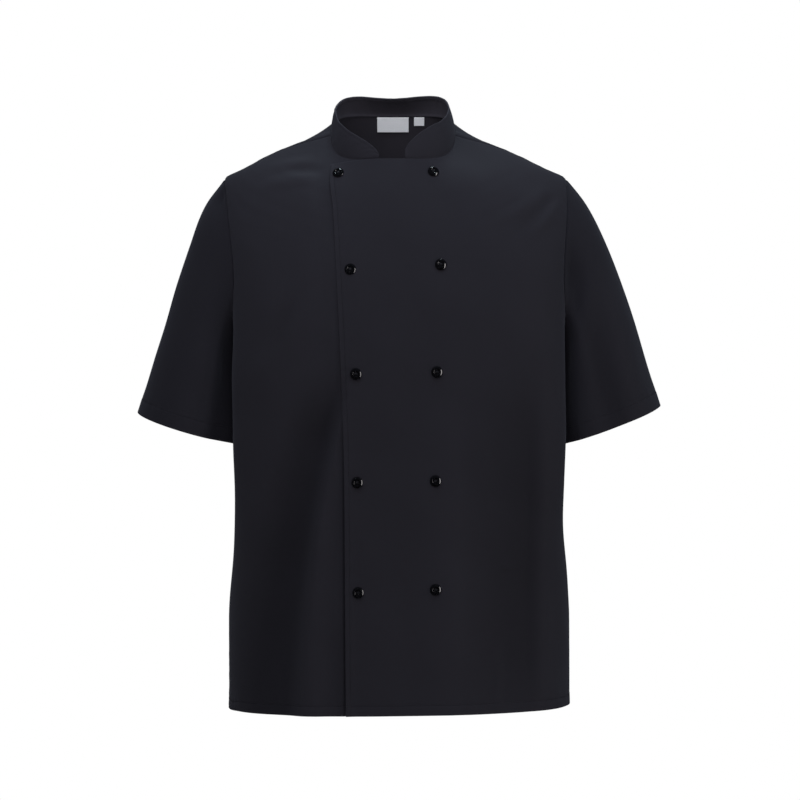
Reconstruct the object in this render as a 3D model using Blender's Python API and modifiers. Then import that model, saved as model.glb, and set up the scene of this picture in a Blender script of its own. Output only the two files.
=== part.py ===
# Bistro shirt: double-breasted, short-sleeved, with a stand collar, in the form it has when worn.
# X is the viewer's right, Y the back of the shirt and Z up, in metres.
# The origin is in the middle of the neck, level with the shoulders beside the collar.
# Left and right in names are the wearer's.

import math

import bmesh
import bpy
import numpy as np
from mathutils import Vector

COLLECTION_NAME = "bistro_shirt"

# Cloth
WALL = 0.0012
COLLAR_WALL = 0.0020
LABEL_WALL = 0.0006
SEAM_TRIM = 0.00015
LAP_DROP = 0.0020
LAP_CLEAR = 0.016
LAP_BLEND = 0.022
LAP_SEAM_FADE = math.radians(16)

# The body is a stack of rings, from the hem up to the neckline.
# level: place in the stack; z_side, z_front, z_back: height of the ring at its side, front and back.
# centre, half_width, depth_front, depth_back: its plan; square: 2 is an ellipse, more is boxier.
# fall: above 1 it drops early, just past the shoulder ridge, below 1 late, near its middle.
# dent: how far the sleeve presses it in at the side.
RING_COLUMNS = (
    "level", "z_side", "z_front", "z_back", "centre", "half_width",
    "depth_front", "depth_back", "square", "fall", "dent")
RINGS = (
    (0.00, -0.750, -0.7525, -0.750, 0.006, 0.2225, 0.138, 0.140, 2.7, 1.0, 0.00),
    (0.15, -0.640, -0.642, -0.640, 0.006, 0.2225, 0.137, 0.136, 2.6, 1.0, 0.00),
    (0.30, -0.530, -0.532, -0.530, 0.006, 0.2235, 0.136, 0.133, 2.7, 1.0, 0.06),
    (0.45, -0.415, -0.422, -0.415, 0.006, 0.2345, 0.135, 0.131, 2.9, 1.0, 0.235),
    (0.58, -0.305, -0.325, -0.310, 0.006, 0.2350, 0.133, 0.131, 3.0, 1.0, 0.255),
    (0.70, -0.205, -0.245, -0.225, 0.006, 0.2250, 0.128, 0.130, 3.0, 1.0, 0.06),
    (0.80, -0.125, -0.182, -0.155, 0.005, 0.2300, 0.119, 0.123, 2.6, 0.7, 0.00),
    (0.88, -0.063, -0.130, -0.095, 0.001, 0.2230, 0.107, 0.112, 2.1, 0.4, 0.00),
    (0.90, -0.051, -0.114, -0.073, 0.000, 0.2000, 0.101, 0.104, 2.05, 0.5, 0.00),
    (0.94, -0.0265, -0.084, -0.030, -0.002, 0.1520, 0.088, 0.088, 2.0, 0.8, 0.00),
    (1.00, 0.000, -0.041, 0.0255, -0.002, 0.0810, 0.068, 0.062, 2.4, 2.0, 0.00),
)
RIDGE_SOFTNESS = 0.12
RING_SPREAD = 0.085
RING_SPREAD_REACH = 0.55
RING_SPREAD_STEPS = ((1, -1.0), (2, -0.6), (3, -0.3), (3, 0.0), (3, 0.3), (2, 0.6), (1, 1.0))
DENT_REACH = 0.050
HEM_TILT = 0.013
HEM_TILT_LEVEL = 0.30

# Armholes and shoulder seams
UNDERARM_LEVEL = 0.58
TIP_LEVEL = 0.88
ARMHOLE_BITE_FRONT = math.radians(28.5)
ARMHOLE_BITE_BACK = math.radians(29)
ARMHOLE_ROUNDNESS = 0.68
SHOULDER_SEAM_LEVEL = 0.92
SHOULDER_SEAM_TURN = math.radians(7.5)
SEAM_AGREE_LOW = 0.2
SEAM_AGREE_HIGH = 0.6

# The over-panel's edge, read down the front.
EDGE_COLUMNS = ("z", "x")
OVERLAP_EDGE = (
    (-0.760, -0.0612),
    (-0.589, -0.0624),
    (-0.454, -0.0634),
    (-0.321, -0.0676),
    (-0.216, -0.0725),
    (-0.155, -0.0759),
    (-0.108, -0.0787),
    (-0.068, -0.0830),
    (-0.040, -0.0815),
)
EDGE_SEARCH_ANGLE = math.radians(-85)
EDGE_SEARCH_STEPS = 40
OVERLAP_TOP_DROP = 0.023
OVERLAP_TOP_ANGLE = math.radians(47)
UNDERLAP_TOP_DROP = 0.006
UNDERLAP_TOP_ANGLE = math.radians(12)

# Soft folds. Each runs from (x_start, z_start) to (x_end, z_end) as seen from the front, and its
# middle is bow to the right of a straight line. reach_left and reach_right are its half widths
# at its end, less by the share flare at its start. depth is outward. start_fade and end_fade are
# the lengths over which it dies out, and crisp is how sharp its right side's far edge is.
FOLD_COLUMNS = (
    "x_start", "z_start", "x_end", "z_end",
    "reach_left", "reach_right", "depth", "start_fade", "end_fade", "bow", "flare", "crisp")
FRONT_FOLDS = (
    (-0.097, -0.346, -0.183, -0.765, 0.050, 0.063, -0.0120, 0.160, 0.001, -0.011, 0.60, 0.8),
    (-0.085, -0.420, -0.105, -0.765, 0.020, 0.022, 0.0020, 0.120, 0.001, -0.004, 0.00, 0.0),
    (0.076, -0.240, 0.074, -0.765, 0.060, 0.024, 0.0030, 0.200, 0.001, 0.000, 0.00, 0.0),
    (0.154, -0.264, 0.152, -0.800, 0.075, 0.038, -0.0080, 0.220, 0.120, 0.000, 0.00, 0.0),
)
BACK_FOLDS = (
    (-0.098, -0.260, -0.128, -0.765, 0.034, 0.040, -0.0090, 0.180, 0.001, 0.006, 0.30, 0.0),
    (-0.030, -0.380, -0.040, -0.765, 0.036, 0.034, 0.0050, 0.150, 0.001, 0.000, 0.00, 0.0),
    (0.070, -0.330, 0.098, -0.765, 0.030, 0.038, -0.0080, 0.160, 0.001, -0.006, 0.30, 0.0),
    (0.150, -0.280, 0.146, -0.765, 0.028, 0.028, 0.0040, 0.140, 0.001, 0.000, 0.00, 0.0),
)
FOLD_FACING = 0.030
SURFACE_STEP = 0.002

# Sleeves: the cuff's middle, tilt and the dip of its front and back, and how far the crown
# sets off sideways, for each side of the shirt.
SLEEVE_COLUMNS = ("side", "cuff_x", "cuff_z", "cuff_tilt", "cuff_dip", "crown_outward")
SLEEVES = (
    (1, 0.2695, -0.3855, math.radians(20.0), 0.0060, 0.48),
    (-1, 0.2680, -0.3890, math.radians(15.5), 0.0075, 0.34),
)
CUFF_HALF_WIDTH = 0.0765
CUFF_HALF_DEPTH = 0.0720
SLEEVE_HANG = math.radians(18.4)
SHIRT_MIDDLE = 0.006
CROWN_DROP = 0.25
UNDERARM_OUTWARD = 0.10
CROWN_PULL = 0.75
CUFF_PULL = 0.90

# Soft folds down a sleeve: angle from the crown towards the front, its half width and its depth
# outward. It rises over the share rise of the sleeve's length from start, 0 at the armhole and 1
# at the cuff, and falls over the share fall up to end.
SLEEVE_FOLD_COLUMNS = ("side", "angle", "spread", "depth", "start", "rise", "end", "fall")
SLEEVE_FOLDS = (
    (1, 48, 30, 0.0030, 0.15, 0.45, 2.00, 1.00),
    (1, 80, 26, -0.0038, 0.30, 0.40, 2.00, 1.00),
    (1, 112, 24, 0.0030, 0.05, 0.40, 2.00, 1.00),
    (1, 137, 22, -0.0040, 0.05, 0.35, 2.00, 1.00),
    (1, 215, 36, -0.0040, 0.20, 0.45, 2.00, 1.00),
    (1, 285, 34, 0.0040, 0.15, 0.45, 2.00, 1.00),
    (-1, 0, 60, 0.0035, 0.02, 0.14, 0.34, 0.18),
    (-1, 86, 34, 0.0032, 0.15, 0.45, 2.00, 1.00),
    (-1, 122, 26, -0.0052, 0.08, 0.40, 2.00, 1.00),
    (-1, 228, 34, -0.0040, 0.15, 0.45, 2.00, 1.00),
    (-1, 300, 32, 0.0035, 0.20, 0.45, 2.00, 1.00),
)

# Collar: rise is how far its top is above the neckline and lean how far it tips outward, at an
# angle from the middle of the front, on the wearer's right and left.
COLLAR_NAMES = ("angle", "rise_right", "rise_left", "lean_right", "lean_left")
COLLAR_SHAPE = (
    (0, 0.0380, 0.0435, -0.0060, -0.0080),
    (57, 0.0380, 0.0437, -0.0060, -0.0080),
    (74, 0.0345, 0.0385, -0.0055, -0.0078),
    (90, 0.0300, 0.0300, -0.0050, -0.0072),
    (112, 0.0272, 0.0286, -0.0080, -0.0085),
    (138, 0.0254, 0.0262, -0.0130, -0.0120),
    (165, 0.0224, 0.0228, -0.0165, -0.0165),
    (180, 0.0216, 0.0216, -0.0170, -0.0170),
)

# Where each end of the collar starts, how far along it is rounded, and its height there as a
# share of the full height.
COLLAR_END_NAMES = ("side", "gap", "corner", "end_rise")
COLLAR_ENDS = (
    (1, math.radians(11.2), 0.050, 0.22),
    (-1, math.radians(12.9), 0.062, 0.15),
)
COLLAR_CORNER_POWER = 1.5

# Buttons, each column from the top down: x and z of the middle, as seen from the front.
BUTTON_NAMES = ("column", "x", "z")
BUTTONS = (
    ("edge", -0.0723, -0.0598),
    ("edge", -0.0560, -0.1862),
    ("edge", -0.0487, -0.3195),
    ("edge", -0.0470, -0.4570),
    ("edge", -0.0458, -0.5965),
    ("inner", 0.0500, -0.0583),
    ("inner", 0.0590, -0.1800),
    ("inner", 0.0540, -0.3170),
    ("inner", 0.0521, -0.4550),
    ("inner", 0.0522, -0.5925),
)
BUTTON_RADIUS = 0.0075
BUTTON_THICKNESS = 0.0026
BUTTON_DISH_RADIUS = 0.0056
BUTTON_DISH_DEPTH = 0.0009
BUTTON_DISH_SLOPE = 0.0005
BUTTON_WELL_RADIUS = 0.0030
BUTTON_WELL_DEPTH = 0.0005
BUTTON_WELL_SLOPE = 0.0006
BUTTON_EDGE = 0.0007
BUTTON_CLEARANCE = 0.0005
BUTTON_STEPS = 16
MERGE_DISTANCE = 0.00001
SEAT_TURN = 0.03
SEAT_CLIMB = 0.008
SEAT_SEARCH_STEPS = 30
SEAT_SEARCH_ANGLE = 1.3
SEAT_SEARCH_LEVEL = 0.999

# Labels inside the back of the neck: width, length down the back and x of the middle.
LABEL_NAMES = ("name", "width", "length", "middle")
LABELS = (
    ("label_main", 0.042, 0.021, -0.0022),
    ("label_size", 0.014, 0.012, 0.0330),
)
LABEL_CLEARANCE = 0.0004
LABEL_TOP_MARGIN = 0.0015
LABEL_COLUMNS = 6
LABEL_ROWS = 3
LABEL_LEVEL_STEP = 0.02

# How finely each piece is divided
FRONT_COLUMNS = 22
BACK_COLUMNS = 28
BODY_ROWS = 15
ARMHOLE_ROWS = 12
SHOULDER_ROWS = 6
SLEEVE_ROWS = 11
COLLAR_COLUMNS = 40
COLLAR_CORNER_COLUMNS = 10
COLLAR_ROWS = 4

# Colours and how matt they are
BLACK_CLOTH = (0.0165, 0.0160, 0.0210, 1.0)
COLLAR_CLOTH = (0.0190, 0.0180, 0.0230, 1.0)
BUTTON_BLACK = (0.0060, 0.0060, 0.0070, 1.0)
LABEL_WHITE = (0.6200, 0.6300, 0.6600, 1.0)
CLOTH_ROUGHNESS = 0.8
BUTTON_ROUGHNESS = 0.25


def smooth(share):
    share = np.clip(share, 0.0, 1.0)
    return share * share * (3.0 - 2.0 * share)


def column(table, names, name):
    place = names.index(name)
    return np.array([row[place] for row in table], dtype=float)


def ease(knots, values, at):
    # A smooth curve through the values that never swings past them.
    steps = np.diff(knots)
    slopes = np.diff(values) / steps
    tangents = np.empty_like(values)
    tangents[0] = slopes[0]
    tangents[-1] = slopes[-1]
    before, after = slopes[:-1], slopes[1:]
    same_way = before * after > 0.0
    total = np.where(same_way, before + after, 1.0)
    tangents[1:-1] = np.where(same_way, 2.0 * before * after / total, 0.0)
    at = np.clip(at, knots[0], knots[-1])
    span = np.clip(np.searchsorted(knots, at, side="right") - 1, 0, len(steps) - 1)
    width = steps[span]
    share = (at - knots[span]) / width
    rise = values[span + 1] - values[span]
    bend_in = tangents[span] * width
    bend_out = tangents[span + 1] * width
    cubic = bend_in + bend_out - 2.0 * rise
    square = 3.0 * rise - 2.0 * bend_in - bend_out
    return values[span] + share * (bend_in + share * (square + share * cubic))


def ring(name, level):
    return ease(column(RINGS, RING_COLUMNS, "level"), column(RINGS, RING_COLUMNS, name), level)


def body_form(angle, level):
    # The smooth body. Away from the shoulder ridge the rings are averaged with their neighbours,
    # so that the chest and back round over into the shoulders without an edge.
    angle, level = np.broadcast_arrays(np.asarray(angle, float), np.asarray(level, float))
    room = np.minimum(1.0 - level, level)
    spread = np.minimum(RING_SPREAD * smooth(np.abs(np.cos(angle)) / RING_SPREAD_REACH), room)
    total = 0.0
    for weight, shift in RING_SPREAD_STEPS:
        total = total + weight * ring_form(angle, level + shift * spread)
    return total / sum(weight for weight, shift in RING_SPREAD_STEPS)


def ring_form(angle, level):
    # One ring: angle 0 is the middle of the front, a quarter turn is the viewer's right side.
    sine, cosine = np.sin(angle), np.cos(angle)
    square = ring("square", level)
    reach = (np.abs(sine) ** square + np.abs(cosine) ** square) ** (-1.0 / square)
    across = reach * sine
    along = reach * cosine
    in_front = cosine > 0.0
    half_width = ring("half_width", level)
    y = -along * np.where(in_front, ring("depth_front", level), ring("depth_back", level))
    pressed = ring("dent", level) * np.exp(-(y / DENT_REACH) ** 2)
    x = ring("centre", level) + across * half_width * (1.0 - pressed)
    z_side = ring("z_side", level)
    z_end = np.where(in_front, ring("z_front", level), ring("z_back", level))
    away = np.clip(np.abs(along), 0.0, 1.0)
    softened = away ** 2 * (1.0 + RIDGE_SOFTNESS) / (away + RIDGE_SOFTNESS)
    fall = ring("fall", level)
    early = 1.0 - (1.0 - softened) ** np.maximum(fall, 1.0)
    late = softened ** (1.0 / np.minimum(fall, 1.0))
    tilt = HEM_TILT * (x - SHIRT_MIDDLE) * (1.0 - smooth(level / HEM_TILT_LEVEL))
    z = z_side + (z_end - z_side) * np.where(fall > 1.0, early, late) + tilt
    return np.stack((x, y, z), axis=-1)


def unit(vectors):
    return vectors / np.linalg.norm(vectors, axis=-1, keepdims=True)


def body_normal(angle, level):
    step = SURFACE_STEP
    low = np.clip(level, step, 1.0 - step)
    around = body_form(angle + step, low) - body_form(angle - step, low)
    upward = body_form(angle, low + step) - body_form(angle, low - step)
    return unit(np.cross(around, upward))


def fold_height(points, folds):
    x, z = points[..., 0], points[..., 2]
    height = np.zeros_like(x)
    for row in folds:
        fold = dict(zip(FOLD_COLUMNS, row))
        run_x = fold["x_end"] - fold["x_start"]
        run_z = fold["z_end"] - fold["z_start"]
        length = math.hypot(run_x, run_z)
        run_x, run_z = run_x / length, run_z / length
        off_x, off_z = x - fold["x_start"], z - fold["z_start"]
        along = off_x * run_x + off_z * run_z
        share = np.clip(along / length, 0.0, 1.0)
        across = off_z * run_x - off_x * run_z - fold["bow"] * 4.0 * share * (1.0 - share)
        on_right = across > 0.0
        reach = np.where(on_right, fold["reach_right"], fold["reach_left"])
        near = np.clip(1.0 - np.abs(across) / (reach * (1.0 - fold["flare"] * (1.0 - share))), 0.0, 1.0)
        crisp = np.where(on_right, fold["crisp"], 0.0)
        profile = smooth(near) * (1.0 - crisp) + np.sin(near * math.pi / 2.0) * crisp
        faded = smooth(along / fold["start_fade"]) * smooth((length - along) / fold["end_fade"])
        height += fold["depth"] * profile * faded
    return height


def body_surface(angle, level):
    # The body with its soft folds, and the outward direction at each point.
    points = body_form(angle, level)
    outward = body_normal(angle, level)
    front_share = smooth(-points[..., 1] / FOLD_FACING)
    back_share = smooth(points[..., 1] / FOLD_FACING)
    height = fold_height(points, FRONT_FOLDS) * front_share + fold_height(points, BACK_FOLDS) * back_share
    return points + outward * height[..., None], outward


def armhole_level(turn):
    # turn runs from 0 at the underarm to 1 at the shoulder tip.
    return UNDERARM_LEVEL + (TIP_LEVEL - UNDERARM_LEVEL) * (1.0 - np.cos(math.pi * turn)) / 2.0


def seam_angle(level, bite):
    # Where a front (or the back) ends: side seam, armhole, then shoulder seam.
    share = np.clip((level - UNDERARM_LEVEL) / (TIP_LEVEL - UNDERARM_LEVEL), 0.0, 1.0)
    armhole = bite * np.clip(4.0 * share * (1.0 - share), 0.0, 1.0) ** ARMHOLE_ROUNDNESS
    above = np.clip((level - SHOULDER_SEAM_LEVEL) / (1.0 - SHOULDER_SEAM_LEVEL), 0.0, 1.0)
    return math.pi / 2.0 - armhole, SHOULDER_SEAM_TURN * above


def front_side_angle(level):
    armhole, shoulder = seam_angle(level, ARMHOLE_BITE_FRONT)
    return armhole - shoulder


def back_side_angle(level):
    armhole, shoulder = seam_angle(level, ARMHOLE_BITE_BACK)
    return math.pi - armhole - shoulder


def lap_edge_angle(level):
    # The angle at which each level of the body meets the over-panel's edge.
    edge_z = column(OVERLAP_EDGE, EDGE_COLUMNS, "z")
    edge_x = column(OVERLAP_EDGE, EDGE_COLUMNS, "x")
    low = np.full_like(level, EDGE_SEARCH_ANGLE)
    high = np.zeros_like(level)
    for _ in range(EDGE_SEARCH_STEPS):
        middle = (low + high) / 2.0
        points = body_form(middle, level)
        beyond = points[..., 0] < ease(edge_z, edge_x, points[..., 2])
        low = np.where(beyond, middle, low)
        high = np.where(beyond, high, middle)
    return (low + high) / 2.0


def panel_levels():
    lower = np.linspace(0.0, UNDERARM_LEVEL, BODY_ROWS + 1)
    middle = armhole_level(np.arange(1, ARMHOLE_ROWS + 1) / ARMHOLE_ROWS)
    upper = np.linspace(TIP_LEVEL, 1.0, SHOULDER_ROWS + 1)[1:]
    return np.concatenate((lower, middle, upper))


def lowered_top(levels, angle, toward, drop, full_angle):
    # Above the shoulder tips the rows close up, so that the lapped top edge lies lower.
    lowered = drop * np.clip(toward * angle / full_angle, 0.0, 1.0) ** 3
    share = np.clip((levels - TIP_LEVEL) / (1.0 - TIP_LEVEL), 0.0, 1.0)
    return levels - lowered * share


def spread_columns(edge, seam, share):
    # Even columns from an edge to the side of the body, drawn in where a seam bites into them.
    side = math.pi / 2.0
    return edge + (side - edge) * share + (seam - side) * share ** 2


def over_panel_grid():
    levels = panel_levels()[:, None]
    share = np.linspace(0.0, 1.0, FRONT_COLUMNS + 1)[None, :]
    angle = spread_columns(lap_edge_angle(levels), front_side_angle(levels), share)
    level = lowered_top(levels, angle, -1, OVERLAP_TOP_DROP, OVERLAP_TOP_ANGLE)
    angle = spread_columns(lap_edge_angle(level), front_side_angle(levels), share)
    return angle, level


def under_panel_grid():
    levels = panel_levels()[:, None]
    share = np.linspace(0.0, 1.0, FRONT_COLUMNS + 1)[None, :]
    angle = -spread_columns(lap_edge_angle(levels), front_side_angle(levels), 1.0 - share)
    level = lowered_top(levels, angle, 1, UNDERLAP_TOP_DROP, UNDERLAP_TOP_ANGLE)
    return angle, level


def back_panel_grid():
    levels = panel_levels()[:, None]
    share = np.linspace(0.0, 1.0, BACK_COLUMNS + 1)[None, :]
    half = np.abs(2.0 * share - 1.0)
    from_middle = math.pi / 2.0 * half - (back_side_angle(levels) - math.pi / 2.0) * half ** 2
    return math.pi + np.sign(share - 0.5) * from_middle, levels + 0.0 * from_middle


def under_drop(angle, level):
    # The under-panel lies inside the over-panel and rises to its own surface past the edge.
    beyond = (lap_edge_angle(level) - angle) * ring("half_width", level)
    from_seam = angle + front_side_angle(level)
    return LAP_DROP * (1.0 - smooth((beyond - LAP_CLEAR) / LAP_BLEND)) * smooth(from_seam / LAP_SEAM_FADE)


def armhole_seam(side):
    # Points round an armhole, from the crown by the front to the underarm and up the back.
    turn = np.arange(ARMHOLE_ROWS + 1) / ARMHOLE_ROWS
    level = armhole_level(turn)
    front = side * front_side_angle(level)
    back = side * back_side_angle(level)
    angle = np.concatenate((front[::-1], back[1:-1]))
    level = np.concatenate((level[::-1], level[1:-1]))
    return body_surface(angle, level)


def closed_normals(points, side):
    around = np.roll(points, -1, axis=1) - np.roll(points, 1, axis=1)
    along = np.gradient(points, axis=0)
    return unit(np.cross(around, along)) * side


def sleeve_surface(side):
    sleeve = {row[0]: dict(zip(SLEEVE_COLUMNS, row)) for row in SLEEVES}[side]
    start, body_outward = armhole_seam(side)
    count = len(start)
    turn = np.arange(count) * 2.0 * math.pi / count
    tilt = sleeve["cuff_tilt"]
    across = CUFF_HALF_WIDTH * np.cos(turn)
    cuff_x = side * (sleeve["cuff_x"] + across * math.cos(tilt)) + SHIRT_MIDDLE
    cuff_y = -CUFF_HALF_DEPTH * np.sin(turn)
    cuff_z = sleeve["cuff_z"] + across * math.sin(tilt) - sleeve["cuff_dip"] * np.abs(np.sin(turn))
    cuff = np.stack((cuff_x, cuff_y, cuff_z), axis=-1)
    hang = np.array((side * math.sin(SLEEVE_HANG), 0.0, -math.cos(SLEEVE_HANG)))
    outward = np.array((side * 1.0, 0.0, -CROWN_DROP))
    crown_share = smooth((1.0 + np.cos(turn)) / 2.0)[:, None]
    lift = UNDERARM_OUTWARD + (sleeve["crown_outward"] - UNDERARM_OUTWARD) * crown_share
    reach = np.linalg.norm(cuff - start, axis=-1, keepdims=True)
    start_pull = unit(hang * (1.0 - lift) + outward * lift) * reach * CROWN_PULL
    cuff_pull = hang * reach * CUFF_PULL
    share = (np.arange(SLEEVE_ROWS + 1) / SLEEVE_ROWS)[:, None, None]
    points = (
        start * (1.0 + 2.0 * share) * (1.0 - share) ** 2
        + start_pull * share * (1.0 - share) ** 2
        + cuff * share ** 2 * (3.0 - 2.0 * share)
        - cuff_pull * share ** 2 * (1.0 - share))
    sleeve_outward = closed_normals(points, side)
    for row in SLEEVE_FOLDS:
        fold = dict(zip(SLEEVE_FOLD_COLUMNS, row))
        if fold["side"] != side:
            continue
        off = np.abs(np.degrees(turn) - fold["angle"])
        across_share = smooth(1.0 - off / fold["spread"])[None, :]
        along_share = smooth((share[:, 0] - fold["start"]) / fold["rise"])
        along_share = along_share * smooth((fold["end"] - share[:, 0]) / fold["fall"])
        points = points + sleeve_outward * (fold["depth"] * across_share * along_share)[..., None]
    sleeve_outward = closed_normals(points, side)
    return points, sleeve_outward, body_outward


def shared_outward(own, other):
    # At a rounded seam both walls are thickened the same way; in a hollow one each keeps its own.
    agree = np.sum(own * other, axis=-1, keepdims=True)
    shared = smooth((agree - SEAM_AGREE_LOW) / (SEAM_AGREE_HIGH - SEAM_AGREE_LOW))
    return unit(own + other * shared)


def seam_directions(side):
    points, sleeve_outward, body_outward = sleeve_surface(side)
    return shared_outward(body_outward, sleeve_outward[0])


def trimmed(points, outward):
    # Each piece ends a little inside its seam line, so that neighbours keep a hair's gap.
    rows, columns = points.shape[:2]
    result = points.copy()
    for row, inner in ((0, 1), (rows - 1, rows - 2)):
        result[row] += seam_step(points[row], points[inner], outward[row])
    for place, inner in ((0, 1), (columns - 1, columns - 2)):
        result[:, place] += seam_step(points[:, place], points[:, inner], outward[:, place])
    return result


def seam_step(edge, inner, outward):
    along = unit(np.gradient(edge, axis=0))
    inward = np.cross(outward, along)
    facing = np.sign(np.sum(inward * (inner - edge), axis=-1, keepdims=True))
    return unit(inward) * facing * SEAM_TRIM


def lay_grid(bm, points, round_tube):
    # A grid of faces whose vertices are placed at the given rows and columns of points.
    rows, columns = points.shape[:2]
    made = bmesh.ops.create_grid(bm, x_segments=columns - 1, y_segments=rows - 1, size=1.0)
    grid = [[None] * columns for _ in range(rows)]
    for vertex in made["verts"]:
        place = round((vertex.co.x + 1.0) / 2.0 * (columns - 1))
        row = round((vertex.co.y + 1.0) / 2.0 * (rows - 1))
        vertex.co = points[row, place]
        grid[row][place] = vertex
    if round_tube:
        bmesh.ops.weld_verts(bm, targetmap={row[-1]: row[0] for row in grid})
        for row in grid:
            row[-1] = row[0]
    return grid


def join_rims(bm, outer_line, inner_line):
    outer_pairs = zip(outer_line, outer_line[1:])
    inner_pairs = zip(inner_line, inner_line[1:])
    for (outer_a, outer_b), (inner_a, inner_b) in zip(outer_pairs, inner_pairs):
        bm.faces.new((outer_a, outer_b, inner_b, inner_a))


def cloth_wall(name, outer, inner, colour, round_tube=False):
    # Two grids, the outside and the inside of the cloth, joined along their open edges.
    bm = bmesh.new()
    if round_tube:
        outer = np.concatenate((outer, outer[:, :1]), axis=1)
        inner = np.concatenate((inner, inner[:, :1]), axis=1)
    outer_grid = lay_grid(bm, outer, round_tube)
    inner_grid = lay_grid(bm, inner, round_tube)
    for row in (0, -1):
        join_rims(bm, outer_grid[row], inner_grid[row])
    if not round_tube:
        for place in (0, -1):
            join_rims(bm, [row[place] for row in outer_grid], [row[place] for row in inner_grid])
    bmesh.ops.recalc_face_normals(bm, faces=bm.faces)
    bmesh.ops.triangulate(bm, faces=bm.faces, quad_method="SHORT_EDGE", ngon_method="BEAUTY")
    return finished(name, bm, colour, CLOTH_ROUGHNESS)


def finished(name, bm, colour, roughness):
    # A named object in the shirt's collection, with a material of its own.
    mesh = bpy.data.meshes.new(name)
    bm.to_mesh(mesh)
    bm.free()
    piece = bpy.data.objects.new(name, mesh)
    bpy.data.collections[COLLECTION_NAME].objects.link(piece)
    material = bpy.data.materials.new(name)
    material.use_nodes = True
    shader = material.node_tree.nodes["Principled BSDF"]
    shader.inputs["Base Color"].default_value = colour
    shader.inputs["Roughness"].default_value = roughness
    shader.inputs["Metallic"].default_value = 0.0
    mesh.materials.append(material)
    return piece


def with_armholes(outward, rows_first, column_place, side, front):
    # The armhole edge of a body panel takes the direction it shares with the sleeve.
    shared = seam_directions(side)
    half = ARMHOLE_ROWS
    if front:
        column_values = shared[: half + 1][::-1]
    else:
        column_values = np.concatenate((shared[half:], shared[:1]))
    result = outward.copy()
    result[rows_first: rows_first + half + 1, column_place] = column_values
    return result


def build_front_left():
    angle, level = over_panel_grid()
    points, outward = body_surface(angle, level)
    outer = trimmed(points, outward)
    outward = with_armholes(outward, BODY_ROWS, -1, 1, True)
    cloth_wall("front_left", outer, outer - outward * WALL, BLACK_CLOTH)


def build_front_right():
    angle, level = under_panel_grid()
    points, outward = body_surface(angle, level)
    points = points - outward * under_drop(angle, level)[..., None]
    outer = trimmed(points, outward)
    outward = with_armholes(outward, BODY_ROWS, 0, -1, True)
    cloth_wall("front_right", outer, outer - outward * WALL, BLACK_CLOTH)


def build_back():
    angle, level = back_panel_grid()
    points, outward = body_surface(angle, level)
    outer = trimmed(points, outward)
    outward = with_armholes(outward, BODY_ROWS, 0, 1, False)
    outward = with_armholes(outward, BODY_ROWS, -1, -1, False)
    cloth_wall("back", outer, outer - outward * WALL, BLACK_CLOTH)


def build_sleeve(name, side):
    points, outward, body_outward = sleeve_surface(side)
    outward[0] = shared_outward(outward[0], body_outward)
    outer = points.copy()
    outer[0] += unit(points[1] - points[0]) * SEAM_TRIM
    cloth_wall(name, outer, outer - outward * WALL, BLACK_CLOTH, round_tube=True)


def collar_end(side, name):
    ends = {row[0]: dict(zip(COLLAR_END_NAMES, row)) for row in COLLAR_ENDS}
    return ends[side][name]


def collar_angles():
    # Columns crowd together at the rounded front corners.
    half_width = ring("half_width", np.array(1.0))
    closing = 1.0 - np.cos(np.linspace(0.0, math.pi / 2.0, COLLAR_CORNER_COLUMNS + 1))
    first = collar_end(1, "gap") + collar_end(1, "corner") / half_width * closing
    last = collar_end(-1, "gap") + collar_end(-1, "corner") / half_width * closing
    last = 2.0 * math.pi - last[::-1]
    between = np.linspace(first[-1], last[0], COLLAR_COLUMNS + 1)
    return np.concatenate((first, between[1:-1], last))


def collar_fullness(from_end, side):
    # The share of its full height that the collar has near one end.
    corner = np.clip(1.0 - from_end / collar_end(side, "corner"), 0.0, 1.0)
    rounded = (1.0 - corner ** COLLAR_CORNER_POWER) ** (1.0 / COLLAR_CORNER_POWER)
    end_rise = collar_end(side, "end_rise")
    return end_rise + (1.0 - end_rise) * rounded


def collar_value(name, around):
    return ease(column(COLLAR_SHAPE, COLLAR_NAMES, "angle"), column(COLLAR_SHAPE, COLLAR_NAMES, name), around)


def collar_surface():
    angle = collar_angles()
    level = np.ones_like(angle)
    base, outward = body_surface(angle, level)
    from_left = np.where(angle > math.pi, angle - 2.0 * math.pi, angle)
    lapped = np.where(from_left < 0.0, under_drop(from_left, level), 0.0)
    base = base - outward * lapped[:, None]
    steps = np.linalg.norm(np.diff(base, axis=0), axis=-1)
    run = np.concatenate(([0.0], np.cumsum(steps)))
    fullness = collar_fullness(run, 1) * collar_fullness(run[-1] - run, -1)
    around = np.degrees(np.abs(from_left))
    on_left = from_left > 0.0
    rise = np.where(on_left, collar_value("rise_left", around), collar_value("rise_right", around)) * fullness
    lean = np.where(on_left, collar_value("lean_left", around), collar_value("lean_right", around)) * fullness
    flat = base - np.array((ring("centre", np.array(1.0)), 0.0, 0.0))
    flat[:, 2] = 0.0
    away = unit(flat)
    share = np.linspace(0.0, 1.0, COLLAR_ROWS + 1)[:, None, None]
    up = np.array((0.0, 0.0, 1.0))
    points = (
        base[None] + up * SEAM_TRIM * 2.0
        + up * rise[None, :, None] * share
        + away[None] * lean[None, :, None] * share ** 1.5)
    around_run = np.gradient(points, axis=1)
    upward = np.gradient(points, axis=0)
    return points, unit(np.cross(around_run, upward))


def build_collar():
    points, outward = collar_surface()
    cloth_wall("collar", points, points - outward * COLLAR_WALL, COLLAR_CLOTH)


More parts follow.
